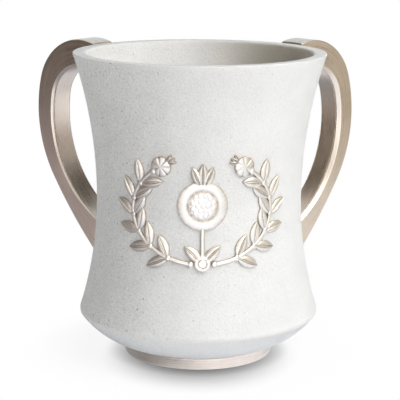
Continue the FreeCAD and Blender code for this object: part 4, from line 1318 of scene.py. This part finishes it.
@dataclass
class Casting:
    """One applied casting: motifs on the wall, laid square to it at the casting's present turn.

    Heights over the wall are shares of the casting's full height above its seat.
    """

    wall: CupWall
    turn: float = 0.0
    seat: float = 0.03 * MM
    top: float = 1.48 * MM
    leaf_length: float = 10.5 * MM
    leaf_width: float = 4.8 * MM
    # A leaf's height at its tips, and what its body, crown, midrib, grooves and veins add or take
    tip_share: float = 0.34
    body_share: float = 0.04
    crown_share: float = 0.60
    rib_share: float = 0.10
    groove_share: float = 0.26
    vein_share: float = 0.09
    # Places and widths across a leaf, as shares of its half width
    rib_width_share: float = 0.10
    groove_place_share: float = 0.16
    groove_width_share: float = 0.075
    vein_place_shares: Pair = (0.2, 0.9)
    veins: float = 9.0
    vein_slant: float = 2.2
    vein_width: float = 0.16
    # A leaf's body swells from its tips as a sine to this power, and its crown falls off with this one
    body_power: float = 0.45
    crown_power: int = 3
    # Rows of a leaf's grid, and the columns over and under a leaf and a strip
    leaf_rows: int = 34
    leaf_columns: tuple[int, int] = (27, 7)
    strip_columns: tuple[int, int] = (15, 5)
    # Rows and columns of a dome's grid, over this radius and up to it
    small_radius: float = 3.0 * MM
    large_grid: tuple[int, int] = (26, 96)
    small_grid: tuple[int, int] = (10, 32)
    # Depths of a dome's creases and of its ring, the ring's width, and how fast and sharply creases deepen
    crease_share: float = 0.22
    ring_share: float = 0.2
    ring_width: float = 0.07
    crease_growth: float = 1.6
    crease_power: int = 10
    # How much of a circle's radius a dome and a strip take up, so that no edge stands upright
    dome_reach: float = 0.98
    strip_reach: float = 0.97
    # Height of a strip's edges, and what its crown adds
    strip_edge_share: float = 0.35
    strip_crown_share: float = 0.5
    # Painted shade in grooves, veins and creases, and the powers with which painted shade darkens the edges
    groove_hollow: float = 0.85
    vein_hollow: float = 0.5
    crease_hollow: float = 0.75
    leaf_edge_power: int = 10
    dome_edge_power: int = 14
    strip_edge_power: int = 8
    # A crown's sepals: where they stand on the fruit, and how far each one leans and its size
    sepal_foot_share: float = 0.80
    sepal_leaves: tuple[Pair, ...] = ((0.42, 0.86), (0.0, 0.92), (-0.42, 0.86))
    surface: Surface = field(default_factory=Surface)

    def lay(self, across: Array, up: Array, height: Array, hollow: Array) -> None:
        """Adds a closed grid of places to the casting.

        Args:
            across: distances across, rows by columns, closed over its columns.
            up: heights above the ground.
            height: heights over the wall, as shares.
            hollow: how much painted shade each place gets, from 0 to 1.
        """
        lift = self.seat + (self.top - self.seat) * height
        points = self.wall.place(across, up, lift, self.turn)
        uv = np.stack([across, up], axis=-1)
        uv = np.concatenate([uv, uv[:, :1]], axis=1)
        self.surface.add(Patch(points, uv, np.clip(hollow, 0, 1) * np.ones_like(across)))

    def leaf(self, base: Pair, aim: float, scale: float = 1.0) -> None:
        """Adds a pointed leaf with a midrib and side veins.

        Its half width is that of two equal arcs through both tips. Its height is a crown over the width,
        less a groove on each side of the midrib and a row of slanting veins, and it thins to the tips.

        Args:
            base: across and up of its foot.
            aim: direction in which it grows.
            scale: its size beside the ordinary leaf.
        """
        length, half = self.leaf_length * scale, self.leaf_width * scale / 2
        bend = (length ** 2 / 4 + half ** 2) / (2 * half)
        share = (1 - np.cos(np.linspace(0, math.pi, self.leaf_rows)))[:, None] / 2
        along = share * length
        width = np.sqrt(np.maximum(bend ** 2 - (along - length / 2) ** 2, 0)) - (bend - half)
        over, below = self.leaf_columns
        cross, on_top = over_and_under(np.linspace(-1, 1, over), below)
        aside, out = cross * np.maximum(width, 0), np.abs(cross)
        body = np.sin(math.pi * np.clip(share, 0, 1)) ** self.body_power
        groove = bell(out - self.groove_place_share, self.groove_width_share)
        slant = self.veins * share - self.vein_slant * out
        low, high = self.vein_place_shares
        vein = bell(slant - np.floor(slant) - 0.5, self.vein_width) * (out > low) * (out < high)
        relief = self.body_share + self.crown_share * (1 - out ** self.crown_power)
        relief = relief - self.groove_share * groove - self.vein_share * vein
        relief = relief + self.rib_share * bell(cross, self.rib_width_share)
        height = np.where(on_top, self.tip_share + body * relief, 0)
        across = base[0] + along * math.cos(aim) - aside * math.sin(aim)
        up = base[1] + along * math.sin(aim) + aside * math.cos(aim)
        hollow = self.groove_hollow * groove + self.vein_hollow * vein + out ** self.leaf_edge_power
        self.lay(across, up, height, np.where(on_top, hollow, 1.0))

    def dome(self, centre: Pair, dome: Dome) -> None:
        """Adds a round motif: height follows a circle over the radius, less creases and ring.

        Args:
            centre: across and up of its middle.
            dome: its sizes.
        """
        rows, columns = self.large_grid if dome.radius > self.small_radius else self.small_grid
        out = np.sin(np.linspace(0, QUARTER_TURN, rows))
        around = np.linspace(0, FULL_TURN, columns, endpoint=False)[None, :]
        # The last three rings run down the edge and in underneath
        share = np.concatenate([out, [1.0, 0.6, 0.0]])[:, None]
        crease = 0 * around
        if dome.lobes:
            crease = np.abs(np.cos(dome.lobes * around / 2)) ** self.crease_power
        groove = bell(share - dome.ring, self.ring_width) if dome.ring else 0 * share
        crown = np.sqrt(np.maximum(1 - (self.dome_reach * share) ** 2, 0))
        body = dome.edge_share + (1 - dome.edge_share) * crown
        creased = self.crease_share * crease * np.clip(self.crease_growth * share, 0, 1) * (share < 0.99)
        height = dome.height_share * (body - creased - self.ring_share * groove)
        height[-3:] = 0
        across = centre[0] + dome.radius * share * np.cos(around)
        up = centre[1] + dome.radius * share * np.sin(around)
        hollow = self.crease_hollow * crease * share + groove + share ** self.dome_edge_power
        self.lay(across, up, height, hollow)

    def sepals(self, centre: Pair, radius: float, lean: float) -> None:
        """Adds a fruit's crown: three pointed sepals that stand on its top.

        Args:
            centre: across and up of the fruit's middle.
            radius: the fruit's radius.
            lean: angle of the crown from upright.
        """
        reach = radius * self.sepal_foot_share
        for spread, size_share in self.sepal_leaves:
            turn = QUARTER_TURN + lean + spread / 4
            foot = (centre[0] + reach * math.cos(turn), centre[1] + reach * math.sin(turn))
            self.leaf(foot, QUARTER_TURN + lean + spread, size_share * radius / self.leaf_length)

    def strip(self, middle: Array, width: float) -> None:
        """Adds a half-round strip along a line: its height is that of a half circle over its width.

        Args:
            middle: across and up of the points of its line, count by 2.
            width: its width.
        """
        ahead = unit(np.gradient(middle, axis=0))
        over, below = self.strip_columns
        cross, on_top = over_and_under(np.sin(np.linspace(-QUARTER_TURN, QUARTER_TURN, over)), below)
        aside = np.broadcast_to(cross * width / 2, (len(middle), cross.size)).copy()
        aside[[0, -1]] = 0
        crown = self.strip_crown_share * np.sqrt(np.maximum(1 - (self.strip_reach * cross) ** 2, 0))
        height = np.where(on_top, self.strip_edge_share + crown, 0)
        across, up = middle[:, :1] - aside * ahead[:, 1:], middle[:, 1:] + aside * ahead[:, :1]
        self.lay(across, up, height, np.where(on_top, np.abs(cross) ** self.strip_edge_power, 1.0))


@dataclass
class Ornament:
    """The applied castings on the front: a crowned fruit in the middle and a leafy spray at each side."""

    wall: CupWall
    centre_height: float = 73.5 * MM
    half_height: float = 26.0 * MM
    half_angle: float = math.radians(50)
    reach_share: float = 0.78
    height_share: float = 0.86
    first_turn: float = math.radians(9)
    last_turn: float = math.radians(138)
    steps: int = 7
    leaf_spread: float = math.radians(44)
    fruit_share: float = 0.10
    tie_share: float = -0.84
    stem_width: float = 1.7 * MM
    stem_points: int = 16
    stalk_points: int = 24
    # The stalk runs into the fruit, up to this share of its radius below its middle
    stalk_share: float = 0.9
    knuckle: Dome = Dome(1.25 * MM, 0.55)
    bud: Dome = Dome(4.3 * MM, 0.45, lobes=7)
    tie: Dome = Dome(3.4 * MM, 0.6, ring=0.55)
    fruit: Dome = Dome(10.5 * MM, 0.42, 0.86, ring=0.60)
    seed: Dome = Dome(1.02 * MM, 0.72)
    # Rings of seeds: their number, radius as a share of the fruit's, and turn as a share of a step
    seed_rings: tuple[tuple[int, float, float], ...] = ((1, 0.0, 0.0), (6, 0.21, 0.0), (12, 0.42, 0.5))

    def stem(self, turn: Array | float, side: Side) -> tuple[Array, Array]:
        """Angle round the cup and height of the stem at turns of its ellipse, counted up from the bottom."""
        angle = side.value * self.half_angle * self.reach_share * np.sin(turn)
        return angle, self.centre_height - self.half_height * self.height_share * np.cos(turn)

    def local_line(self, turns: Array, side: Side, facing: float) -> Array:
        """The stem between turns, seen square to the wall at an angle: the waist's radius times the sine."""
        angle, height = self.stem(turns, side)
        return np.stack([self.wall.waist_radius * np.sin(angle - facing), height], axis=1)

    def growth(self, turn: float, side: Side) -> float:
        """Finds the direction in which the stem grows.

        Args:
            turn: the place on the stem.
            side: the side it grows on.

        Returns:
            The angle, seen square to the wall.
        """
        step = (self.last_turn - self.first_turn) / self.steps / 2
        ends = self.local_line(np.array([turn - step, turn + step]), side, self.stem(turn, side)[0])
        return direction(ends[0], ends[1])

    def spray(self, side: Side) -> Surface:
        """Makes one branch: a bent stem, a pair of leaves at each knuckle and a small fruit at its end.

        Args:
            side: the side it grows on.

        Returns:
            The branch's shells.
        """
        casting = Casting(self.wall)
        turns = np.linspace(self.first_turn, self.last_turn, self.steps + 1)
        for first, last in zip(turns, turns[1:]):
            casting.turn = self.stem((first + last) / 2, side)[0]
            piece_turns = np.linspace(first, last, self.stem_points)
            casting.strip(self.local_line(piece_turns, side, casting.turn), self.stem_width)
        for turn in turns:
            casting.turn, height = self.stem(turn, side)
            aim = self.growth(turn, side)
            casting.dome((0.0, height), self.knuckle)
            if turn not in (turns[0], turns[-1]):
                for spread in (self.leaf_spread, -self.leaf_spread):
                    casting.leaf((0.0, height), aim + spread)
        bud = (self.bud.radius * math.cos(aim), height + self.bud.radius * math.sin(aim))
        casting.dome(bud, self.bud)
        casting.sepals(bud, self.bud.radius, aim - QUARTER_TURN)
        return casting.surface

    def middle(self) -> Surface:
        """Makes the middle casting: a stalk from the tie with its two leaves up to the crowned fruit.

        Returns:
            Its shells. The fruit is a low dome with a ring and rings of seeds round its heart.
        """
        casting = Casting(self.wall)
        tie = (0.0, self.centre_height + self.half_height * self.tie_share)
        fruit = (0.0, self.centre_height + self.half_height * self.fruit_share)
        stalk_top = (0.0, fruit[1] - self.fruit.radius * self.stalk_share)
        casting.strip(line(tie, stalk_top, self.stalk_points), self.stem_width)
        for spread in (self.leaf_spread, math.pi - self.leaf_spread):
            casting.leaf(tie, spread)
        casting.dome(tie, self.tie)
        casting.dome(fruit, self.fruit)
        for count, share, twist in self.seed_rings:
            for angle in FULL_TURN * (np.arange(count) + twist) / count:
                reach = share * self.fruit.radius
                seed = (fruit[0] + reach * math.cos(angle), fruit[1] + reach * math.sin(angle))
                casting.dome(seed, self.seed)
        casting.sepals(fruit, self.fruit.radius, 0.0)
        return casting.surface

    def build(self, material: Material) -> None:
        """Makes the three castings.

        Args:
            material: the castings' metal.
        """
        dress(self.middle(), "fruit_casting", material, "champagne_relief", "ornament_centre")
        for side in Side:
            name, node = "spray_casting_" + side.word, "ornament_spray_" + side.word
            dress(self.spray(side), name, material, "champagne_relief", node)


@dataclass
class Dowels:
    """The four steel dowels inside the handles' ends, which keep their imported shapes."""

    levels: tuple[str, ...] = ("upper", "lower")

    def build(self, material: Material) -> None:
        """Gives each dowel its finish.

        Args:
            material: the steel.
        """
        for side in Side:
            for level in self.levels:
                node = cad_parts["handle_pin_" + side.word + "_" + level]
                node.data.materials.clear()
                node.data.materials.append(material)
                log.info("%s keeps its shape", node.name)


def new_sheet(name: str, corners: tuple[Triple, ...], material: Material) -> bpy.types.Object:
    """Makes a four-cornered sheet for the studio.

    Args:
        name: its name.
        corners: its corners, in order round it.
        material: its material.

    Returns:
        The sheet.
    """
    mesh = bpy.data.meshes.new(name)
    mesh.from_pydata(corners, [], [(0, 1, 2, 3)])
    mesh.materials.append(material)
    return new_object(name, mesh)


@dataclass(frozen=True)
class Card:
    """A glowing card beside the object, which only reflections show.

    Attributes:
        name: its name.
        foot: x and y of the two ends of its foot.
        lean: how far its top stands out along x from its foot.
        heights: of its foot and its top.
        low: its colour along its foot.
        high: its colour further up.
        rise: heights between which the one colour turns into the other.
    """

    name: str
    foot: tuple[Pair, Pair]
    lean: float
    heights: Pair
    low: Triple
    high: Triple
    rise: Pair

    def build(self) -> None:
        """Stands the card in its place."""
        material = bpy.data.materials.new(self.name)
        nodes = Nodes(cleared(material))
        height = nodes.axes(nodes.add("ShaderNodeTexCoord")["Object"])["Z"]
        share = nodes.span(height, *self.rise, 0.0, 1.0)
        face = nodes.add("ShaderNodeEmission", Color=nodes.mix(share, (*self.low, 1.0), (*self.high, 1.0)))
        nodes.add("ShaderNodeOutputMaterial", Surface=face[0])
        (x_start, y_start), (x_end, y_end) = self.foot
        bottom, top = self.heights
        card = new_sheet(self.name, (
            (x_start, y_start, bottom), (x_end, y_end, bottom),
            (x_end + self.lean, y_end, top), (x_start + self.lean, y_start, top),
        ), material)
        card.visible_camera = False
        card.visible_diffuse = False
        card.visible_shadow = False


@dataclass
class Studio:
    """The camera, the lamps, the white ground and the cards that the metal reflects.

    The camera's values were found from the rim's and the foot's ellipses in the photograph.
    """

    camera_place: Triple = (-22.5 * MM, -644.2 * MM, 205.1 * MM)
    heading: float = math.radians(87.956)
    pitch: float = 0.208
    roll: float = 0.00625
    focal_pixels: float = 1469.0
    image_pixels: float = 400.0
    sensor: float = 36.0
    ambient: float = 0.03
    ground_size: float = 8.0
    ground_colour: Colour = (0.93, 0.93, 0.93, 1.0)
    # Distances from the axis between which the ground turns from lit into plain white, and its share there
    white_reach: Pair = (0.045, 0.085)
    white_share: float = 0.90
    # Distance over which the object darkens the ground that it nearly touches, and how dark it gets
    shadow_reach: float = 0.010
    shadow_band: Pair = (0.1, 0.7)
    contact_level: float = 0.60
    # A painted pool of shadow round the foot, wider than the contact shadow, which leans towards the front in
    # the shape that light from above the back would give
    painted_pool_shift: Triple = (0.0007, 0.010, 0.0)
    painted_pool_scale: Triple = (1.2, 1.0, 1.0)
    painted_pool_reach: Pair = (0.015, 0.056)
    painted_pool_level: float = 0.23
    # The ground in the metal's reflections: dim on the left, bright in front and plain behind
    dim_side: Pair = (-0.032, 0.012)
    behind_places: Pair = (-0.028, 0.0)
    front_places: Pair = (-0.14, -0.08)
    dim_level: float = 0.42
    bright_level: float = 1.52
    mirrored_colour: Colour = (0.93, 1.0, 1.17, 1.0)
    # Each lamp: name, degrees right of the camera, degrees up, distance, width, height, watts and tint
    lamps: tuple[tuple, ...] = (
        ("key", 49, 34, 1.0, 0.95, 0.80, 7.5, (1.0, 0.995, 0.985)),
        ("low_fill", -30, -1, 0.7, 0.5, 0.1, 1.06, WHITE[:3]),
        ("top", 58, 62, 0.9, 0.5, 0.5, 3.4, WHITE[:3]),
        ("left_rear", -135, 10, 0.9, 0.5, 0.5, 2.1, WHITE[:3]),
    )
    cards: tuple[Card, ...] = (
        Card(
            "left_card", ((-0.10, -0.30), (-0.10, 0.065)), -0.20, (0.002, 0.45),
            (0.52, 0.485, 0.555), (0.14, 0.12, 0.115), (0.03, 0.135),
        ),
        Card(
            "right_card", ((0.11, -0.25), (0.11, 0.075)), 0.21, (0.002, 0.45),
            (1.05, 1.07, 1.11), (0.61, 0.57, 0.505), (0.035, 0.085),
        ),
        Card(
            "left_rear_card", ((-0.24, 0.066), (-0.24, 0.45)), 0.0, (0.0, 0.38),
            (0.60, 0.55, 0.54), (0.11, 0.085, 0.065), (0.02, 0.08),
        ),
        Card(
            "right_rear_card", ((0.26, 0.085), (0.26, 0.45)), 0.0, (0.0, 0.20),
            (1.64, 1.75, 2.00), (0.62, 0.60, 0.62), (0.065, 0.115),
        ),
        Card(
            "right_rear_top", ((0.26, 0.085), (0.26, 0.45)), 0.0, (0.20, 0.50),
            (0.62, 0.60, 0.62), (0.10, 0.09, 0.08), (0.20, 0.24),
        ),
        Card(
            "rear_card", ((-0.40, 0.55), (0.40, 0.55)), 0.0, (0.22, 0.9),
            (0.80, 0.93, 1.06), (0.80, 0.93, 1.06), (0.3, 0.4),
        ),
        Card(
            "front_card", ((-0.02, -0.50), (0.55, -0.50)), 0.0, (0.0, 0.22),
            (1.85, 1.92, 2.05), (1.85, 1.92, 2.05), (0.0, 0.2),
        ),
    )
    middle: Vector = field(default_factory=lambda: Vector((0.0, 0.0, 0.07)))

    def camera(self) -> None:
        """Makes the camera, which looks along its heading and down by its pitch, turned by its roll."""
        data = bpy.data.cameras.new("photo_camera")
        data.sensor_width = self.sensor
        data.lens = self.focal_pixels / self.image_pixels * self.sensor
        camera = new_object("photo_camera", data)
        level = math.cos(self.pitch)
        ahead = Vector((
            math.cos(self.heading) * level, math.sin(self.heading) * level, -math.sin(self.pitch),
        ))
        turn = Matrix.Rotation(self.roll, 4, -ahead) @ ahead.to_track_quat("-Z", "Y").to_matrix().to_4x4()
        camera.matrix_world = Matrix.Translation(Vector(self.camera_place)) @ turn
        bpy.context.scene.camera = camera

    def world(self) -> None:
        """A plain pale room: white to the camera and in reflections, and a soft fill on the object."""
        world = bpy.data.worlds.new("studio")
        bpy.context.scene.world = world
        nodes = Nodes(cleared(world))
        seen = nodes.seen_ray(nodes.add("ShaderNodeLightPath"))
        strength = nodes.blend(seen, self.ambient, 1.0)
        background = nodes.add("ShaderNodeBackground", Color=WHITE, Strength=strength)
        nodes.add("ShaderNodeOutputWorld", Surface=background[0])

    def ground(self) -> None:
        """A white ground that keeps the object's shadow, darkened round the foot by a painted pool of shadow,
        and turns into plain white away from it.
        """
        material = bpy.data.materials.new("white_ground")
        nodes = Nodes(cleared(material))
        place = nodes.add("ShaderNodeTexCoord")["Object"]
        axes = nodes.axes(place)
        hidden = nodes.add("ShaderNodeAmbientOcclusion", {"samples": 24}, Distance=self.shadow_reach)["AO"]
        contact = nodes.span(hidden, *self.shadow_band, self.contact_level, 1.0)
        # The painted pool of shadow: a soft patch round a point just in front of the foot
        settings = {"vector_type": "POINT"}
        pool = nodes.add(
            "ShaderNodeMapping", settings, Vector=place, Location=self.painted_pool_shift, Scale=self.painted_pool_scale,
        )[0]
        pool_distance = nodes.vector("LENGTH", pool)["Value"]
        painted_pool_share = nodes.span(pool_distance, *self.painted_pool_reach, self.painted_pool_level, 1.0)
        open_share = nodes.math("MULTIPLY", contact, painted_pool_share)
        beside = nodes.span(axes["X"], *self.dim_side, self.dim_level, self.bright_level)
        behind = nodes.span(axes["X"], *self.dim_side, self.dim_level, 1.0)
        level = nodes.blend(nodes.span(axes["Y"], *self.behind_places, 0.0, 1.0), beside, behind)
        level = nodes.blend(nodes.span(axes["Y"], *self.front_places, 1.0, 0.0), level, self.bright_level)
        rays = nodes.add("ShaderNodeLightPath")
        camera_ray = rays["Is Camera Ray"]
        lit = nodes.add("ShaderNodeBsdfDiffuse", Color=self.ground_colour)
        tint = nodes.mix(camera_ray, self.mirrored_colour, WHITE)
        glow = nodes.blend(camera_ray, level, open_share)
        white = nodes.add("ShaderNodeEmission", Color=tint, Strength=glow)
        away = nodes.span(nodes.vector("LENGTH", place)["Value"], *self.white_reach, self.white_share, 1.0)
        share = nodes.math("MULTIPLY", nodes.seen_ray(rays), away)
        mixed = nodes.add("ShaderNodeMixShader", i0=share, i1=lit[0], i2=white[0])
        nodes.add("ShaderNodeOutputMaterial", Surface=mixed[0])
        half = self.ground_size / 2
        corners = ((-half, -half, 0.0), (half, -half, 0.0), (half, half, 0.0), (-half, half, 0.0))
        ground = new_sheet("ground", corners, material)

    def lamp(
        self, name: str, turn: float, rise: float, distance: float, width: float, height: float,
        power: float, tint: Triple,
    ) -> None:
        """Hangs a soft lamp that shines at the object's middle.

        Args:
            name: the lamp's name.
            turn: degrees to the right of the camera, seen from the object.
            rise: degrees above the level of the object's middle.
            distance: distance from the object's middle.
            width: its width.
            height: its height.
            power: its power in watts.
            tint: its colour.
        """
        data = bpy.data.lights.new(name, "AREA")
        data.shape = "RECTANGLE"
        data.size, data.size_y = width, height
        data.energy = power
        data.color = tint
        angle, rise = self.heading - math.pi + math.radians(turn), math.radians(rise)
        level = math.cos(rise)
        out = distance * Vector((level * math.cos(angle), level * math.sin(angle), math.sin(rise)))
        facing = (-out).to_track_quat("-Z", "Y").to_matrix().to_4x4()
        new_object(name, data).matrix_world = Matrix.Translation(self.middle + out) @ facing

    def build(self) -> None:
        """Sets up everything round the object, shown in plain colours."""
        bpy.context.scene.view_settings.view_transform = "Standard"
        self.camera()
        self.world()
        self.ground()
        for lamp in self.lamps:
            self.lamp(*lamp)
        for card in self.cards:
            card.build()
        log.info("studio ready with %d lamps and %d cards", len(self.lamps), len(self.cards))


def main() -> None:
    """Builds every part of the object in order, then the studio."""
    logging.basicConfig(level=logging.INFO, format="%(name)s: %(message)s")
    effects = Effects()
    stone = StoneFinish().build(effects)
    satin = SatinMetal().build(effects)
    wall = CupWall()
    CupBody(wall).build(stone)
    FootRing().build(satin)
    FootPad().build(RubberFinish().build(effects))
    # The right handle is seen widest a little lower than the left one
    lowered = 2.2 * MM
    BandHandle(
        Side.RIGHT, wall,
        widest_drop=BandHandle.widest_drop + lowered,
        tail_drop=BandHandle.tail_drop + lowered,
        grip_widest_drop=BandHandle.grip_widest_drop + lowered,
    ).build(satin)
    # The left handle's bevel is seen narrower, and thins out towards its foot
    BandHandle(Side.LEFT, wall, bevel=1.05 * MM, bevel_shares=(0.85, 1.0, 0.80, 0.45)).build(satin)
    Ornament(wall).build(ReliefMetal().build(effects))
    Dowels().build(SteelFinish().build(effects))
    Studio().build()


if __name__ == "__main__":
    main()
